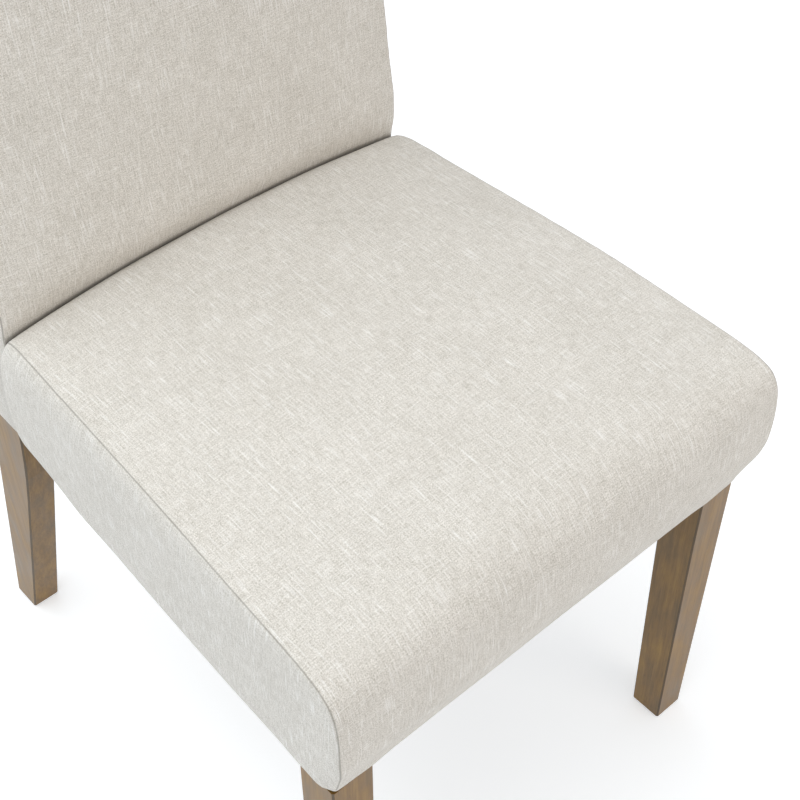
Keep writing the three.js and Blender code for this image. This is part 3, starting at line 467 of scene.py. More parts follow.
def woven_tape(name, dark, light):
    """Coarse yarns crossed in a plain weave, with short uneven fibres over them."""
    material, tree, shader = new_material(name, {"Roughness": 0.9, "Specular IOR Level": 0.2})
    place = add(tree, "ShaderNodeUVMap", uv_map="weave").outputs["UV"]
    across = add(tree, "ShaderNodeTexWave", {"Vector": place}, bands_direction="X",
                 Scale=1 / crosswise_yarn / waves_in_unit, Distortion=0.8, Detail=1.0)
    along = add(tree, "ShaderNodeTexWave", {"Vector": place}, bands_direction="Y",
                Scale=1 / lengthwise_yarn / waves_in_unit, Distortion=0.8, Detail=1.0)
    stretched = add(tree, "ShaderNodeVectorMath", {0: place, 1: (*per_metre(1.4, 9), 1.0)},
                    operation="MULTIPLY")
    fibres = add(tree, "ShaderNodeTexNoise", {"Vector": stretched.outputs[0]},
                 Scale=1.0, Detail=2.0, Roughness=0.6)
    tone = 0.0
    for source, weight in ((across, 0.3), (along, 0.3), (fibres, 0.4)):
        tone = add(tree, "ShaderNodeMath", {0: source.outputs["Fac"], 1: weight, 2: tone},
                   operation="MULTIPLY_ADD").outputs[0]
    body = add(tree, "ShaderNodeValToRGB", {"Fac": tone}, stops=((0.2, dark), (0.8, light))).outputs[0]
    tree.links.new(body, shader.inputs["Base Color"])
    bump = add(tree, "ShaderNodeBump", {"Height": tone}, Strength=0.8, Distance=0.6 * mm)
    tree.links.new(bump.outputs["Normal"], shader.inputs["Normal"])
    return material


jute = woven_tape("jute_webbing", "#94774f", "#c9ae82")
print(jute.name, len(jute.node_tree.nodes), "nodes")

# %% [markdown]
# ## Dress the CAD nodes
# Every node gets a finish, also those that a modelled piece replaces later. The part's name says what it
# is, so a short list of words is enough. The first word that fits decides, so block_screw stands before
# block.

# %% Every finish of the chair
finishes = {
    "linen": natural_linen, "stained_wood": walnut_stain, "frame_wood": bare_pine,
    "hardboard": hardboard, "steel": zinc, "nylon": nylon, "foam": foam, "wadding": fleece_white,
    "dust_cloth": spunbond, "webbing": jute}
finish_of_node = [
    ("front_leg", "stained_wood"), ("back_post", "stained_wood"), ("glide", "nylon"),
    ("rail", "frame_wood"), ("block_screw", "steel"), ("block", "frame_wood"), ("hanger_bolt", "steel"),
    ("leg_washer", "steel"), ("leg_nut", "steel"), ("seat_bolt", "steel"), ("tee_nut", "steel"),
    ("hardboard", "hardboard"), ("dust_cover", "dust_cloth"), ("strap", "webbing"), ("foam", "foam"),
    ("wadding", "wadding"), ("cover", "linen")]


def dress(piece, finish):
    piece.data.materials.clear()
    piece.data.materials.append(finishes[finish])


for name, node in nodes.items():
    dress(node, next(finish for part, finish in finish_of_node if part in name))
print(len(nodes), "CAD nodes have their finish")

# %% [markdown]
# ## Join a piece to the chair
# The chair is one rigid body, so each new piece rides on its root and stands in for one CAD node.

# %% Join


def join(piece, node, slot):
    """Fixes a finished piece to the chair in place of a CAD node."""
    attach(piece, "root")
    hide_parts(node)
    dress(piece, slot)
    print(piece.name, len(piece.data.polygons), "faces")
    return piece


print("slots:", sorted(finishes))

# %% [markdown]
# ## A box cut into a grid
# A cover could start from a sphere or from loose panels. A cube from -1 to 1, cut into a grid, has the
# panels and their edges in place from the start. Laid out on the chair its squares are 8 or 9 mm wide.
# Each point keeps its place on the cube as three shares, which work as places on a pattern do.

# %% The grid and its panels
TOP, SIDE, REAR, UNDER = 0, 1, 2, 3
# A place past this, on a cube from -1 to 1, is on its surface.
rim = 0.999


def cut_along(piece, axis, cuts):
    """Cuts every edge that runs along one axis into equal lengths."""
    bpy.ops.object.mode_set(mode="EDIT")
    bpy.ops.mesh.select_mode(type="EDGE")
    bpy.ops.mesh.select_all(action="DESELECT")
    mesh = bmesh.from_edit_mesh(piece.data)
    for edge in mesh.edges:
        way = edge.verts[0].co - edge.verts[1].co
        edge.select_set(abs(way[axis]) > 0.99 * way.length)
    bmesh.update_edit_mesh(piece.data)
    bpy.ops.mesh.subdivide(number_cuts=cuts)
    bpy.ops.object.mode_set(mode="OBJECT")


def gridded_cube(name, cuts):
    deselect_all()
    bpy.ops.mesh.primitive_cube_add(size=2)
    piece = named(name)
    for axis, count in enumerate(cuts):
        cut_along(piece, axis, count)
    return piece


def mark_panels(piece):
    """Gives each face the number of the panel it will be cut from, while the piece is still a cube."""
    for face in piece.data.polygons:
        x, y, z = face.center
        panel = SIDE if abs(x) > rim else REAR if y > rim else UNDER if z < -rim else TOP
        face.material_index = panel


print("panels are numbered", (TOP, SIDE, REAR, UNDER))

# %% [markdown]
# ## Curves to measure along
# The side view of the seat is one curve that runs up the front and back over the top. It was read from
# the sewn seam in the picture. It could be drawn as a curve object, but code has to ask how far along it
# a point lies. So a few points are typed in, and a small function draws a smooth line through them.

# %% Smooth lines and soft steps


def clamp(value):
    return max(0.0, min(1.0, value))


def soft_step(value, low, high):
    t = clamp((value - low) / (high - low))
    return t * t * (3 - 2 * t)


def quarter_round(depth, radius):
    """How far a quarter round has come out, from 0 to 1, at a depth from where it starts."""
    return math.sqrt(1 - (1 - clamp(depth / radius)) ** 2)


def smooth_line(points, steps=8):
    """A line through every point, with a smooth curve between them."""
    line = []
    for k in range(len(points) - 1):
        before = points[max(k - 1, 0)]
        a, b = points[k], points[k + 1]
        after = points[min(k + 2, len(points) - 1)]
        for step in range(steps):
            t = step / steps
            line.append(tuple(
                0.5 * (2 * q + (r - p) * t + (2 * p - 5 * q + 4 * r - s) * t ** 2
                       + (3 * q - p - 3 * r + s) * t ** 3)
                for p, q, r, s in zip(before, a, b, after)))
    return line + [tuple(points[-1])]


def lengths_of(line):
    total, lengths = 0.0, [0.0]
    for a, b in zip(line, line[1:]):
        total += math.dist(a, b)
        lengths.append(total)
    return lengths


def at_share(line, lengths, share):
    """The point at a share of the line's length."""
    target = clamp(share) * lengths[-1]
    for k in range(1, len(line)):
        if lengths[k] >= target:
            t = (target - lengths[k - 1]) / max(lengths[k] - lengths[k - 1], 1e-9)
            return tuple(a + (b - a) * t for a, b in zip(line[k - 1], line[k]))
    return line[-1]


def level_at(table, place):
    """Reads a value from a table of (place, value) rows by straight steps."""
    if place <= table[0][0]:
        return table[0][1]
    for (a, low), (b, high) in zip(table, table[1:]):
        if place <= b:
            return low + (high - low) * (place - a) / (b - a)
    return table[-1][1]


def patch(low, high, first, last, s, t):
    """A point inside four joined lines: low and high run along s, first and last run along t."""
    result = []
    for k in (0, 1):
        across = (1 - t) * low(s)[k] + t * high(s)[k]
        along = (1 - s) * first(t)[k] + s * last(t)[k]
        corners = ((1 - s) * (1 - t) * low(0)[k] + s * (1 - t) * low(1)[k]
                   + (1 - s) * t * high(0)[k] + s * t * high(1)[k])
        result.append(across + along - corners)
    return result


print("halfway: soft step", soft_step(0.5, 0, 1), "and quarter round", round(quarter_round(0.5, 1), 3))

# %% [markdown]
# ## The seat's form
# One linen panel goes over the top and down the front. A side panel is sewn to it along each edge, and
# the padding makes both swell away from the seam. The numbers in the next cells are millimetres in the
# chair's own frame: y runs to the rear and z upwards.

# %% Lines of the seat, in millimetres
under_seat, seat_high = 350, 506
rail_front, rail_rear = -280.1, 151.4
front_line = smooth_line([(-280.6, 350), (-284.5, 362), (-289.6, 378), (-294.4, 391), (-298.3, 404),
                          (-300.3, 420), (-300.5, 440), (-300.0, 456), (-298.4, 470), (-294.6, 482),
                          (-288.5, 489.5)])
top_line = smooth_line([(-288.5, 489.5), (-281, 494), (-270, 497.2), (-252, 499.6), (-220, 501.3),
                        (-180, 503.0), (-140, 504.8), (-100, 505.8), (-29, 505), (55, 503), (106, 502.3),
                        (128, 501.4), (139, 499.3), (146.5, 495.5), (151.3, 487)])
rear_line = [(rail_rear, under_seat), (151.3, 487)]
under_line = [(rail_front, under_seat), (rail_rear, under_seat)]
seat_lines = [under_line, top_line, front_line, rear_line]
seat_reaches = [lengths_of(line) for line in seat_lines]
print("panel length over the front and top", round(seat_reaches[1][-1] + seat_reaches[2][-1]), "mm")

# %% Widths of the seat, in millimetres
seam_rear_half, seam_slope = 212.2, 0.0552
rail_front_half, rail_narrowing, rail_run = 228, 23.8, 431.7
top_radius, rail_radius, front_radius = 40, 24, 9


def seam_half(y):
    """How far the seam lies from the middle of the seat: it narrows to the rear."""
    return seam_rear_half + seam_slope * (151.6 - y) - 1.7 * soft_step(-y, 110, 290)


def rail_half(y):
    """The half width of the wooden seat box, which narrows to the rear too."""
    return rail_front_half - rail_narrowing * (y - rail_front) / rail_run


# Rows of (place towards the rear, how far the side panel reaches), and below them rows of (share of the
# panel's length, how far the top rises or the front is pushed out).
side_reach = [(-302, 236.2), (-280, 236.0), (-240, 235.0), (-200, 234.2), (-160, 233.6), (-120, 232.5),
              (-80, 231.2), (-40, 229.6), (0, 227.8), (40, 226.6), (80, 226.0), (120, 226.0), (151, 225.2)]
top_rise = [(0, 4.0), (0.05, 8.0), (0.14, 11.0), (0.35, 13.0), (0.7, 13.5), (0.9, 14.0), (1, 15.0)]
front_push = [(0, 0.0), (0.25, 1.0), (0.55, 2.0), (0.8, 0.5), (0.92, -2.5), (1, -5.5)]


def height_of_seam(y):
    for (y0, z0), (y1, z1) in zip(top_line, top_line[1:]):
        if y0 <= y <= y1:
            return z0 + (z1 - z0) * (y - y0) / max(y1 - y0, 1e-9)
    return top_line[0][1] if y < top_line[0][0] else top_line[-1][1]


def front_of_seam(z):
    for (y0, z0), (y1, z1) in zip(front_line, front_line[1:]):
        if z0 <= z <= z1:
            return y0 + (y1 - y0) * (z - z0) / max(z1 - z0, 1e-9)
    return front_line[-1][0]


def seat_half(y, z, fullness):
    """The side panel's distance from the middle at a place in the side view."""
    seam, rail = seam_half(y), rail_half(y)
    widest = seam + (level_at(side_reach, y) - seam) * fullness
    near_back = soft_step(y, 40, 151)
    from_top = seam + (widest - seam) * quarter_round(height_of_seam(y) - z, top_radius + 18 * near_back)
    from_rail = rail + (widest - rail) * quarter_round(z - under_seat, rail_radius + 44 * near_back)
    wall = min(from_top, from_rail)
    # Below 425 the front seam runs in towards the leg.
    lead = seam_half(front_of_seam(z)) - 8.4 * (1 - soft_step(z, under_seat, 425))
    return lead + (wall - lead) * quarter_round(y - front_of_seam(z), front_radius)


print("front half widths:", round(seam_half(-280), 1), "to the seam,", rail_half(rail_front), "to the rail")

# %% Where each point of the seat goes


def seat_point(u, v, w, fullness):
    """Where a point of the gridded cube goes on the seat, in metres. Fullness is how far it swells."""
    s, t = (v + 1) / 2, (w + 1) / 2
    under, top, front, rear = [
        (lambda share, line=line, reach=reach: at_share(line, reach, share))
        for line, reach in zip(seat_lines, seat_reaches)]
    y, z = patch(under, top, front, rear, s, t)
    x = u * seat_half(y, z, fullness)
    middle = 1 - abs(u) ** 2.2
    step_y = step_z = 0.0
    # The top rises, and the front is pushed out, most in the middle.
    if t > rim:
        keep = fullness + (1 - fullness) * s ** 8
        step_y = 5.5 * fullness * max(0.0, 1 - s / 0.14) ** 2
        step_z = level_at(top_rise, s) * keep
    elif s < 0.001:
        step_y = -level_at(front_push, t) * fullness
        step_z = 4.0 * fullness * t ** 6
    elif s > rim:
        step_z = top_rise[-1][1] * t ** 2
    # At the front legs the hem stands off a little and lifts, so that it clears the wood.
    by_leg = soft_step(-y, 222, 245) * (1 - soft_step(z, 353, 376))
    side, front = abs(u) > rim, s < 0.001
    outwards = 0.4 if side and front else 1.2
    if side:
        x += math.copysign(outwards, u) * by_leg
    if front:
        y -= outwards * by_leg * soft_step(abs(x), 170, 192)
    lift = 2.0 * soft_step(abs(x), 187, 212) * soft_step(-y, 238, 264)
    z += lift * (1 - soft_step(z, under_seat, 385))
    return Vector((x, y + step_y * middle, z + step_z * middle)) * mm


print("middle of the top at", [round(c, 3) for c in seat_point(0, 0, 1, 1.0)])

# %% [markdown]
# ## Fill a cover
# On the real chair the cover is pulled over fleece and foam, which push it out between its seams. The
# swelling could be sculpted by hand. Cloth blown up from inside finds it by itself while the seams and
# the stapled edges are held. The cushion's final form is known from the curves above, so each point also
# has a target. The cloth may only just pass it, and is helped along where it stays short.

# %% Blow up a padded piece with its seams held
fullness_at_start, last_frame = 0.8, 20
most_over, most_short = 1.04, 0.1


def swell(piece, starts, targets, held, pressure=4.0):
    """Lets the cloth swell from its starts towards its targets. A point moves at most 4% further than its
    target lies, and one that stays short is pushed to nine tenths of the way."""
    for vertex, start in zip(piece.data.vertices, starts):
        vertex.co = start
    group = piece.vertex_groups.new(name="sewn_and_stapled")
    group.add(held, 1.0, "REPLACE")
    cloth = piece.modifiers.new("Cloth", "CLOTH")
    cloth.settings.vertex_group_mass = group.name
    cloth.settings.use_pressure = True
    cloth.settings.uniform_pressure_force = pressure
    cloth.settings.effector_weights.gravity = 0
    cloth.settings.quality = 6
    for frame_number in range(1, last_frame + 1):
        bpy.context.scene.frame_set(frame_number)
    blown = piece.evaluated_get(bpy.context.evaluated_depsgraph_get())
    moved = [vertex.co.copy() for vertex in blown.data.vertices]
    piece.modifiers.remove(cloth)
    bpy.context.scene.frame_set(1)
    reached = 0
    for vertex, start, target, end in zip(piece.data.vertices, starts, targets, moved):
        step, most = end - start, (target - start).length * most_over
        place = start + step * min(1.0, most / max(step.length, 1e-9))
        short = (target - place).length - most_short * (target - start).length
        reached += short <= 0
        vertex.co = place + (target - place) * max(0.0, short) / max((target - place).length, 1e-9)
    print(piece.name, "points that reached their place:", reached, "of", len(moved))


print("frames of cloth for each cover:", last_frame)

# %% [markdown]
# ## Sewn seams
# Two panels are sewn face to face and turned out, so the thread pulls a narrow groove between them. The
# seam could be drawn in the material alone. A groove in the mesh also casts a shadow and shows in the
# outline, so each seam edge is bevelled to a narrow band and the band's middle is pulled in.

# %% Seams: bevel the sewn line, and sink its middle
seam_width = 1.1 * mm


def mark_seam(piece, on_seam):
    """Marks the edges that a test finds on the cube, before it is shaped."""
    vertices = piece.data.vertices
    for edge in piece.data.edges:
        edge.use_seam = all(on_seam(vertices[k].co) for k in edge.vertices) and \
            on_seam((vertices[edge.vertices[0]].co + vertices[edge.vertices[1]].co) / 2)


def sink_seam(piece, width, depth):
    """Widens each marked line to a narrow band and pulls its middle in, as thread does."""
    pick(piece)
    bpy.ops.object.mode_set(mode="EDIT")
    bpy.ops.mesh.select_mode(type="EDGE")
    bpy.ops.mesh.select_all(action="DESELECT")
    mesh = bmesh.from_edit_mesh(piece.data)
    for edge in mesh.edges:
        edge.select_set(edge.seam)
    bmesh.update_edit_mesh(piece.data)
    bpy.ops.mesh.bevel(offset=width, segments=2, profile=0.5, affect="EDGES", mark_seam=False)
    mesh = bmesh.from_edit_mesh(piece.data)
    mesh.normal_update()
    faces = {face for face in mesh.faces if face.select}
    middle = {v for v in mesh.verts
              if v.link_faces and sum(face in faces for face in v.link_faces) >= 4}
    for v in middle:
        v.co -= v.normal * depth
    line = []
    for edge in mesh.edges:
        if edge.verts[0] in middle and edge.verts[1] in middle:
            line += [tuple(edge.verts[0].co.lerp(edge.verts[1].co, k / 16)) for k in range(17)]
    bmesh.update_edit_mesh(piece.data)
    bpy.ops.object.mode_set(mode="OBJECT")
    print(piece.name, "seam points", len(line))
    return line


print("seam bands are", round(2 * seam_width / mm, 1), "mm wide")

# %% [markdown]
# ## Pattern, opening and cloth
# The weave needs to know where each point lies on the flat cloth, which is what a UV map holds. The cover
# is open where it is stapled to the wood, and it has a real thickness. Padding is never quite even, and a
# seam puckers, so slow and quick ripples are added last. They come from a noise in space, which gives the
# same ripples each time.

# %% Pattern, seam distance and small ripples
waves_per_metre, puckers_per_metre, pucker_reach = 13, 75, 9 * mm
linen_thickness = 1.2


def apply_all(piece):
    pick(piece)
    for modifier in list(piece.modifiers):
        bpy.ops.object.modifier_apply(modifier=modifier.name)
    return piece


def lay_pattern(piece, place_of):
    """Gives every corner its place on the flat cloth, in metres, so that the weave runs as it was cut."""
    while piece.data.uv_layers:
        piece.data.uv_layers.remove(piece.data.uv_layers[0])
    cloth = piece.data.uv_layers.new(name="weave")
    for face in piece.data.polygons:
        for corner in face.loop_indices:
            k = piece.data.loops[corner].vertex_index
            cloth.data[corner].uv = place_of(face.material_index, k)


def cut_away(piece, test):
    """Deletes the faces that a test picks by panel number and middle point."""
    pick(piece)
    bpy.ops.object.mode_set(mode="EDIT")
    bpy.ops.mesh.select_mode(type="FACE")
    bpy.ops.mesh.select_all(action="DESELECT")
    mesh = bmesh.from_edit_mesh(piece.data)
    for face in mesh.faces:
        face.select_set(test(face.material_index, face.calc_center_median()))
    bmesh.update_edit_mesh(piece.data)
    bpy.ops.mesh.delete(type="FACE")
    bpy.ops.object.mode_set(mode="OBJECT")


def subdivide_smoothly(piece):
    smoother = piece.modifiers.new("Smoother", "SUBSURF")
    smoother.levels = smoother.render_levels = 1
    apply_all(piece)


def ripple(piece, seam_points, wave=0.5, pucker=0.35, contact=lambda place: 1.0):
    """Adds the slow unevenness of padding and small puckers by the seam, in millimetres. It stores how
    far each point is from a seam, or from where another piece presses on it, for the material."""
    tree = kdtree.KDTree(len(seam_points))
    for k, point in enumerate(seam_points):
        tree.insert(point, k)
    tree.balance()
    gap = piece.data.attributes.new("seam_gap", "FLOAT", "POINT")
    normals = [vertex.normal.copy() for vertex in piece.data.vertices]
    for vertex, normal in zip(piece.data.vertices, normals):
        distance = tree.find(vertex.co)[2]
        gap.data[vertex.index].value = min(distance, contact(vertex.co))
        near = math.exp(-distance / pucker_reach)
        step = wave * noise.noise(vertex.co * waves_per_metre) * (1 - near)
        step += pucker * noise.noise(vertex.co * puckers_per_metre) * near
        vertex.co += normal * step * mm


def thicken(piece, thickness):
    """Gives the cloth its thickness, inwards, and closes its edges."""
    cloth = piece.modifiers.new("Thickness", "SOLIDIFY")
    cloth.thickness = thickness
    cloth.offset = -1
    apply_all(piece)
    for face in piece.data.polygons:
        face.material_index = 0
    pick(piece)
    bpy.ops.object.shade_smooth_by_angle(angle=math.radians(60))


print("the linen is", linen_thickness, "mm thick")

# %% [markdown]
# ## Seat cover
# The seat cover is one panel over the top and down the front, with a panel sewn in at each side. It could
# be sewn from flat panels in a long simulation. Here it starts as a closed grid, because a closed cover
# can be blown up, and the underside is opened afterwards. A flange is left there, since that is where the
# real cover is stapled to the rails, with a notch round each front leg.

# %% Seat cover form
flange = 24
notch_half, notch_front = 186.5, -238.5


def on_seat_seam(p):
    return abs(p.x) > rim and (p.z > rim or p.y < -rim)


def seat_pattern(panel, share, place):
    """Where a point of the seat cover lies on the flat cloth."""
    x, y, z = place
    u, v, w = share
    if panel != TOP:
        return (y if panel == SIDE else x, y if panel == UNDER else z)
    up_front, over_top = seat_reaches[2][-1], seat_reaches[1][-1]
    along = up_front * (w + 1) / 2 if v < -rim else up_front + over_top * (v + 1) / 2
    return (x, along * mm)


def seat_opening(panel, middle):
    """The underside, apart from a flange that is notched round the front legs."""
    if panel != UNDER:
        return False
    x, y, z = middle / mm
    stapled = abs(x) > rail_half(y) - flange or y < -280 + flange or y > 151 - flange
    by_leg = abs(x) > notch_half and y < notch_front
    return by_leg or not stapled


print("flange", flange, "mm wide")

# %% Seat cover
seat_cover = gridded_cube("seat_cover_linen", (51, 48, 18))
mark_panels(seat_cover)
mark_seam(seat_cover, on_seat_seam)
shares = [tuple(v.co) for v in seat_cover.data.vertices]
targets = [seat_point(*share, 1.0) for share in shares]
starts = [seat_point(*share, fullness_at_start) for share in shares]
held = [k for k, (u, v, w) in enumerate(shares)
        if v > rim or w < -rim or on_seat_seam(Vector((u, v, w)))]
for k in held:
    starts[k] = targets[k]
lay_pattern(seat_cover, lambda panel, k: seat_pattern(panel, shares[k], targets[k]))
swell(seat_cover, starts, targets, held)
seat_seam = sink_seam(seat_cover, seam_width, 0.9 * mm)
subdivide_smoothly(seat_cover)
cut_away(seat_cover, seat_opening)
ripple(seat_cover, seat_seam)
thicken(seat_cover, linen_thickness * mm)
join(seat_cover, "seat_cover", "linen")

# %% [markdown]
# ## The back's form
# The front panel is sewn to a band that goes up one side, over the top and down the other. Below the
# seat the panel is flat, because the seat box is bolted against it. Just above the seat it swells out.
# Seen from the front it is a rectangle with two round corners, and from the side it leans back. So a table
# of heights gives how far back the seam and the rear edge lie, and the corners are bent round afterwards.

# %% Lines of the back, in millimetres
back_low, back_half, back_corner, back_top = 358, 212.8, 22.0, 997.0
back_seam_line = [(back_low, 151.9), (490, 151.9), (499, 150.2), (507, 148.6), (516, 147.4), (540, 147.3),
                  (558, 150.4), (576, 153.4), (604, 156.8), (633, 160.6), (980, 200.1), (1000, 204.5)]
back_rear_line = [(back_low, 238.5), (404, 234.1), (455, 231.5), (506, 231.2), (557, 233.1), (978, 258.3),
                  (990, 257.4), (1000, 252.0)]
front_belly, side_belly, top_belly = 8.5, 1.8, 3.0


def round_corner(x, z):
    """Bends the two upper corners of the front view from square to round."""
    a = (abs(x) - (back_half - back_corner)) / back_corner
    b = (z - (back_top - back_corner)) / back_corner
    if a <= 0 or b <= 0:
        return x, z
    bent_a, bent_b = a * math.sqrt(1 - b * b / 2), b * math.sqrt(1 - a * a / 2)
    bent_x = back_half - back_corner + back_corner * bent_a
    return math.copysign(bent_x, x), back_top - back_corner + back_corner * bent_b


def back_point(u, v, w, fullness):
    """Where a point of the gridded cube goes on the back, in metres."""
    x, z = round_corner(back_half * u, back_low + (back_top - back_low) * (w + 1) / 2)
    t = (v + 1) / 2
    y = (1 - t) * level_at(back_seam_line, z) + t * level_at(back_rear_line, z)
    if v < -rim:
        rise = soft_step(z, 499 + 13 * (1 - u * u), 522 + 13 * (1 - u * u))
        y -= front_belly * fullness * (1 - abs(u) ** 2.4) * rise * quarter_round(back_top - z, 80)
    belly = math.sin(math.pi * t) * fullness
    if abs(u) > rim:
        x += math.copysign(side_belly, u) * belly * soft_step(z, back_low, 390)
    if w > rim:
        z += top_belly * belly * (1 - abs(u) ** 6)
    return Vector((x, y, z)) * mm


lean_back = level_at(back_seam_line, 980) - level_at(back_seam_line, 633)
print("the back leans", round(math.degrees(math.atan2(lean_back, 980 - 633)), 1), "degrees")

# %% Panels, opening and fold of the back
fold_at_ends, fold_rise, fold_shade_top = 489.5, 18, 540
opening_half, opening_top, turned_in = 196, 957, 9
pressed_below = 0.497


def on_back_seam(p):
    return p.y < -rim and (abs(p.x) > rim or p.z > rim)


def mark_back_panels(piece):
    for face in piece.data.polygons:
        x, y, z = face.center
        face.material_index = (REAR if y > rim else UNDER if z < -rim
                               else TOP if y < -rim else SIDE)


def back_pattern(panel, share, place):
    """Where a point of the back cover lies on the flat cloth. Each panel has its own stretch of it."""
    x, y, z = place
    if panel == UNDER:
        return (x, y)
    if panel == SIDE and share[2] > rim and abs(share[0]) < rim:
        return (y + 0.7, x)
    return (y + 0.7 if panel == SIDE else x + 0.4, z)


def back_opening(panel, middle):
    """The back is open below and behind, where the rear panel closes it."""
    x, y, z = middle / mm
    if panel == REAR:
        return abs(x) < opening_half and z < opening_top
    return panel == UNDER and abs(x) < back_half - turned_in and y > 152 + turned_in


def above_seat(place):
    """How far the cloth is from the fold where the seat presses on it, in metres and below 0 in the fold.
    The material paints shade from it, which thins out over some millimetres above the fold. On the sides
    beside the seat the value is made up, so that the painted shade of the seat fades to the rear and
    upwards."""
    x, y, z = place / mm
    if abs(x) > back_half - 2 and z < 500:
        return (0.6 + (y - 150) / 120 + soft_step(z, 440, 500)) * mm
    if y > 160 or z > fold_shade_top:
        return 1.0
    line = fold_at_ends + fold_rise * (1 - min(1.0, abs(x) / back_half) ** 2.2)
    return (z - line) * mm / (6 if z > line else 3)


print("the fold lies at", fold_at_ends, "mm at its ends and", fold_at_ends + fold_rise, "in the middle")

# %% [markdown]
# ## Back cover
# The back cover is a front panel with a band sewn round it, pulled over the foam and closed behind by the
# rear panel. It is made as the seat cover is: cut, blown up, sewn, opened and thickened. Where the seat
# presses on it nothing may swell, so those points are held too, and shade is painted dark into its fold
# there and onto the band beside the seat.

# %% Back cover
back_cover = gridded_cube("back_cover_linen", (50, 8, 75))
mark_back_panels(back_cover)
mark_seam(back_cover, on_back_seam)
shares = [tuple(v.co) for v in back_cover.data.vertices]
targets = [back_point(*share, 1.0) for share in shares]
starts = [back_point(*share, fullness_at_start) for share in shares]
held = [k for k, (u, v, w) in enumerate(shares)
        if v > rim or w < -rim or on_back_seam(Vector((u, v, w))) or targets[k].z < pressed_below]
for k in held:
    starts[k] = targets[k]
lay_pattern(back_cover, lambda panel, k: back_pattern(panel, shares[k], targets[k]))
swell(back_cover, starts, targets, held)
back_seam = sink_seam(back_cover, seam_width, 0.8 * mm)
subdivide_smoothly(back_cover)
cut_away(back_cover, back_opening)
ripple(back_cover, back_seam, contact=above_seat)
thicken(back_cover, linen_thickness * mm)
join(back_cover, "back_cover", "linen")

# %% [markdown]
# ## Padding
# Foam gives each cushion its body, and a fleece over the seat's foam softens its edges. Both could be
# plain blocks, since the covers hide them. They follow the covers from inside instead, each a few
# millimetres further in, so that they look right when the chair is shown taken apart.

# %% Padding helpers
fleece_low, slab_low, pad_low = 392, 424.5, 467
fleece_inset, slab_inset, pad_inset = 2.2, 6.4, 2.4
fleece_thickness = 4.4


def step_inwards(piece, inset):
    """Moves every point in along its own normal, by millimetres."""
    normals = [vertex.normal.copy() for vertex in piece.data.vertices]
    for vertex, normal in zip(piece.data.vertices, normals):
        vertex.co -= normal * inset * mm


def mesh_by(name, cuts, place_of):
    piece = gridded_cube(name, cuts)
    mark_panels(piece)
    for vertex in piece.data.vertices:
        vertex.co = place_of(*vertex.co)
    return piece


def finish_padding(piece, node, slot):
    subdivide_smoothly(piece)
    for face in piece.data.polygons:
        face.material_index = 0
    pick(piece)
    bpy.ops.object.shade_smooth_by_angle(angle=math.radians(60))
    join(piece, node, slot)


def seat_above(low):
    """A rule for a form like the seat's that starts at a height, given in millimetres."""
    first = 2 * (low - under_seat) / (seat_high - under_seat) - 1
    return lambda u, v, w: seat_point(u, v, first + (1 - first) * (w + 1) / 2, 1.0)


print("the fleece starts at", [round(c, 3) for c in seat_above(fleece_low)(0, 0, -1)])

# %% Fleece and foam of the seat
fleece = mesh_by("seat_fleece", (27, 25, 7), seat_above(fleece_low))
step_inwards(fleece, fleece_inset)
cut_away(fleece, lambda panel, middle: panel == UNDER)
wrap = fleece.modifiers.new("Wrap", "SOLIDIFY")
wrap.thickness = fleece_thickness * mm
wrap.offset = -1
apply_all(fleece)
finish_padding(fleece, "seat_wadding", "wadding")

slab = mesh_by("seat_foam_slab", (27, 25, 7), seat_above(slab_low - slab_inset))
step_inwards(slab, slab_inset)
finish_padding(slab, "seat_foam", "foam")

# %% Foam of the back
pad_rear_line = [(pad_low, 171.9), (505, 171.9), (513, 168.3), (523, 166.9), (562, 170.7), (647, 179.5),
                 (742, 189.3), (836, 199.0), (916, 209.0), (930, 219.5), (972, 219.5), (980, 255.5),
                 (1000, 252)]


def back_pad_point(u, v, w):
    """The back's form above the seat rail, with its rear brought forward to the webbing and the rails."""
    first = 2 * (pad_low - back_low) / (back_top - back_low) - 1
    place = back_point(u, -1.0 if v < -rim else v, first + (1 - first) * (w + 1) / 2, 0.95)
    height = place.z / mm
    front = level_at(back_seam_line, height)
    depth = (place.y / mm - front) / (level_at(back_rear_line, height) - front)
    if v > -rim:
        place.y = (front + depth * (level_at(pad_rear_line, height) - front)) * mm
    return place


back_pad = mesh_by("back_foam_pad", (27, 5, 52), back_pad_point)
step_inwards(back_pad, pad_inset)
finish_padding(back_pad, "back_foam", "foam")

# %% [markdown]
# ## Webbing
# Eight lengths of jute webbing are stretched over the frame to carry the padding, and in the seat they
# pass over and under each other. They could be simulated, but a stretched strip is flat apart from its
# crossings. So each is a grid laid out by a rule that lifts it where it passes above another.

# %% Flat strips


def flat_strip(name, cuts, place_of, size, thickness, notch=None):
    """A flat piece of cloth: a grid of points from -1 to 1 laid out by a function, then given thickness."""
    deselect_all()
    bpy.ops.mesh.primitive_grid_add(x_subdivisions=cuts[0], y_subdivisions=cuts[1], size=2)
    piece = named(name)
    shares = [tuple(v.co[:2]) for v in piece.data.vertices]
    lay_pattern(piece, lambda panel, k: (shares[k][0] * size[0] / 2 * mm, shares[k][1] * size[1] / 2 * mm))
    for vertex, share in zip(piece.data.vertices, shares):
        vertex.co = Vector(place_of(*share)) * mm
    subdivide_smoothly(piece)
    if notch:
        cut_away(piece, notch)
    cloth = piece.modifiers.new("Thickness", "SOLIDIFY")
    cloth.thickness = thickness * mm
    cloth.offset = 0
    apply_all(piece)
    pick(piece)
    bpy.ops.object.shade_smooth_by_angle(angle=math.radians(50))
    return piece


print("meshes before the webbing:", len(bpy.data.meshes))

# %% Webbing
tape_half, tape_thickness = 25.0, 1.2
slope, lift_over, point_spacing = 22, 1.4, 6


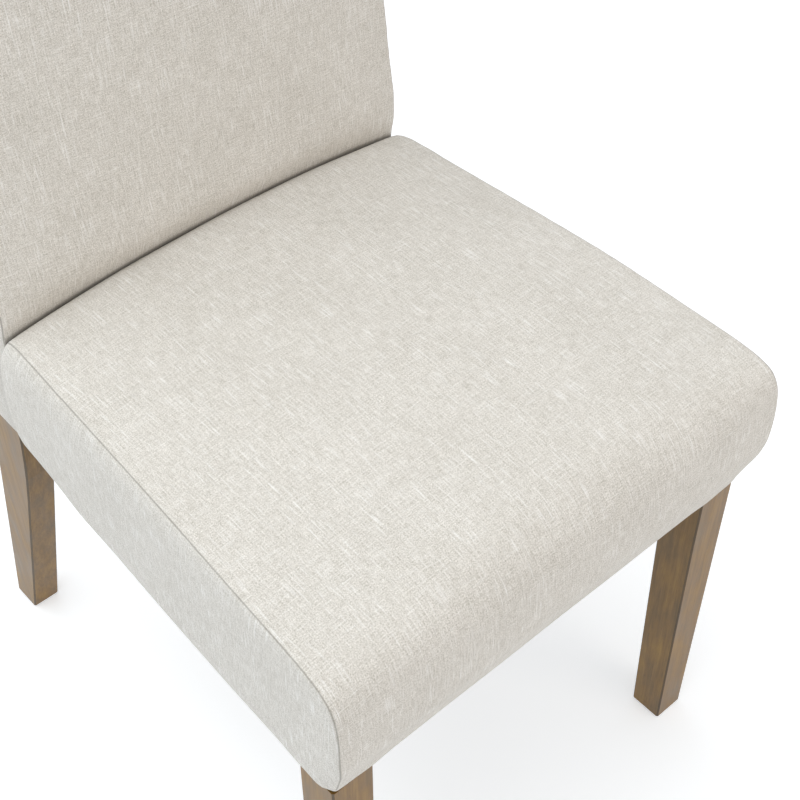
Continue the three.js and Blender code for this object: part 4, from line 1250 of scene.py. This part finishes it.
def over(place, crossings, half=tape_half):
    """1 on a crossing that is passed above, easing to 0 away from it."""
    return max([soft_step(half + slope - abs(place - c), 0, slope) for c in crossings], default=0.0)


def box_of(node):
    return [[c / mm for c in corner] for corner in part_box(node)]


def strap(name, node, size, place_of):
    """Lays one length of webbing between the parts that its two ends are tacked to."""
    cuts = [max(2, round(length / point_spacing)) for length in size]
    piece = flat_strip(name, cuts, place_of, size, tape_thickness)
    join(piece, node, "webbing")


print("a length of webbing is", 2 * tape_half, "mm wide in the seat")

# %% Lay the webbing
long_middles, cross_middles = [-79.3, 0.0, 79.3], [-133.4, 4.8]
for k, middle in enumerate(long_middles):
    (x0, y0, z0), (x1, y1, z1) = box_of(f"seat_strap_long_{k + 1}")
    above = [c for j, c in enumerate(cross_middles) if (j + k) % 2 == 0]
    strap(f"seat_webbing_long_{k + 1}", f"seat_strap_long_{k + 1}", (x1 - x0, y1 - y0),
          lambda a, b: (middle + tape_half * a, y0 + (y1 - y0) * (b + 1) / 2,
                        z0 + tape_thickness / 2 + lift_over * over(y0 + (y1 - y0) * (b + 1) / 2, above)))
for j, middle in enumerate(cross_middles):
    (x0, y0, z0), (x1, y1, z1) = box_of(f"seat_strap_cross_{j + 1}")
    above = [c for k, c in enumerate(long_middles) if (j + k) % 2 == 1]
    strap(f"seat_webbing_cross_{j + 1}", f"seat_strap_cross_{j + 1}", (y1 - y0, x1 - x0),
          lambda a, b: (x0 + (x1 - x0) * (b + 1) / 2, middle + tape_half * a,
                        z0 + tape_thickness / 2 + lift_over * over(x0 + (x1 - x0) * (b + 1) / 2, above)))
for k in range(3):
    (x0, y0, z0), (x1, y1, z1) = box_of(f"back_strap_{k + 1}")
    strap(f"back_webbing_{k + 1}", f"back_strap_{k + 1}", (z1 - z0, x1 - x0),
          lambda a, b: (x0 + (x1 - x0) * (b + 1) / 2, y0 + 0.7 + (y1 - y0 - 1.4) * (a + 1) / 2,
                        (z0 + z1) / 2 + (z1 - z0) / 2 * a))

# %% [markdown]
# ## Rear panel
# The rear panel is linen over the hardboard, with its edges turned under and slip-stitched to the cover.
# The cloth lies double in the turned edge, so that stands a little proud. It could be folded in a
# simulation. A step in the strip's own rule gives the same look, and stays exactly where the board is.
# This piece stores no seam distance, so the linen reads 0 here and paints the shade of a seam over the
# whole panel.

# %% Rear panel
rear_size = (410.0, 613.0)
hem_width, hem_height, hem_radius = 11, 0.9, 3


def hem_rise(a, b, size, width, height):
    """The thicker turned edge of a panel, as a step that rises near its border."""
    edge = min((1 - abs(a)) * size[0] / 2, (1 - abs(b)) * size[1] / 2)
    inner = height * (1 - soft_step(edge, width - 3, width + 3))
    return inner - 0.9 * height * (1 - quarter_round(edge, hem_radius))


def rear_place(a, b):
    z = back_low + rear_size[1] * (b + 1) / 2
    fullness = 0.8 * (1 - a ** 4) * (1 - b ** 6)
    y = level_at(back_rear_line, z) + 1.0 + fullness + hem_rise(a, b, rear_size, hem_width, hem_height)
    return (rear_size[0] / 2 * a, y, z)


rear_panel = flat_strip("back_rear_panel", (56, 84), rear_place, rear_size, linen_thickness)
join(rear_panel, "back_rear_cover", "linen")

# %% [markdown]
# ## Dust cloth
# A thin black cloth closes the underside. It is stapled to the rails and notched round the front legs, and
# it sags a little between them. The sag is too small to need a simulation, so a rule gives it.

# %% Dust cloth
dust_front, dust_rear, dust_margin = -272.1, 143.6, 9.6
dust_level, dust_sag = 349.3, 4.5
dust_size = (430.0, 416.0)
dust_notch_half, dust_notch_front = 187 * mm, -239 * mm


def dust_place(a, b):
    y = dust_front + (dust_rear - dust_front) * (b + 1) / 2
    half = rail_half(y) - dust_margin
    sag = dust_sag * (1 - a ** 4) * (1 - b ** 4)
    wave = 0.5 * noise.noise(Vector((a * 5, b * 5, 0)))
    return (half * a, y, dust_level - sag + wave * (1 - a ** 8) * (1 - b ** 8))


def dust_notch(panel, middle):
    """The corners that the front legs take up."""
    return abs(middle.x) > dust_notch_half and middle.y < dust_notch_front


dust_cloth = flat_strip("dust_cloth_below", (60, 58), dust_place, dust_size, 0.5, notch=dust_notch)
join(dust_cloth, "dust_cover", "dust_cloth")

# %% [markdown]
# ## Staples
# The dust cloth is shot on with wire staples 10 mm wide, and only their crowns show. A whole staple would
# put two hidden legs into the wood. So one crown is modelled as a rounded bar at the start of each row, and
# an array repeats it along the rail, which keeps the steps even.

# %% Staples
staple_level = 348.9
crown = (10 * mm, 0.9 * mm, 0.6 * mm)


def settle(piece):
    """Puts the piece's place into its mesh, so that its object sits at the origin."""
    pick(piece)
    bpy.ops.object.transform_apply(location=True, rotation=True, scale=True)
    return piece


def staple_row(first, step, count, turned):
    """A row of staple crowns. The turn is about the first one, before the others are copied from it."""
    deselect_all()
    bpy.ops.mesh.primitive_cube_add(size=1, location=Vector(first) * mm, scale=crown)
    row = settle(named("staple_row"))
    bpy.ops.object.mode_set(mode="EDIT")
    bpy.ops.mesh.select_all(action="SELECT")
    bpy.ops.mesh.bevel(offset=0.25 * mm, segments=2, affect="EDGES")
    bpy.ops.transform.rotate(value=turned, orient_axis="Z", center_override=Vector(first) * mm)
    bpy.ops.object.mode_set(mode="OBJECT")
    repeat = row.modifiers.new("Repeat", "ARRAY")
    repeat.count = count
    repeat.use_relative_offset = False
    repeat.use_constant_offset = True
    repeat.constant_offset_displace = Vector(step) * mm
    apply_all(row)
    return row


lean = math.atan2(rail_narrowing, rail_run)
rows = [staple_row((-170, dust_front + 6, staple_level), (42.5, 0, 0), 9, 0.0),
        staple_row((-180, dust_rear - 6, staple_level), (40, 0, 0), 10, 0.0)]
for sign in (-1, 1):
    first = Vector((sign * (rail_half(-225) - 15.5), -225, staple_level))
    rows.append(staple_row(first, (-sign * 43 * math.tan(lean), 43, 0), 9, math.pi / 2 + sign * lean))
deselect_all()
for row in rows:
    row.select_set(True)
bpy.context.view_layer.objects.active = rows[0]
bpy.ops.object.join()
staples = named("dust_cloth_staples")
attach(staples, "root")
dress(staples, "steel")
print("staples", len(staples.data.polygons), "faces")
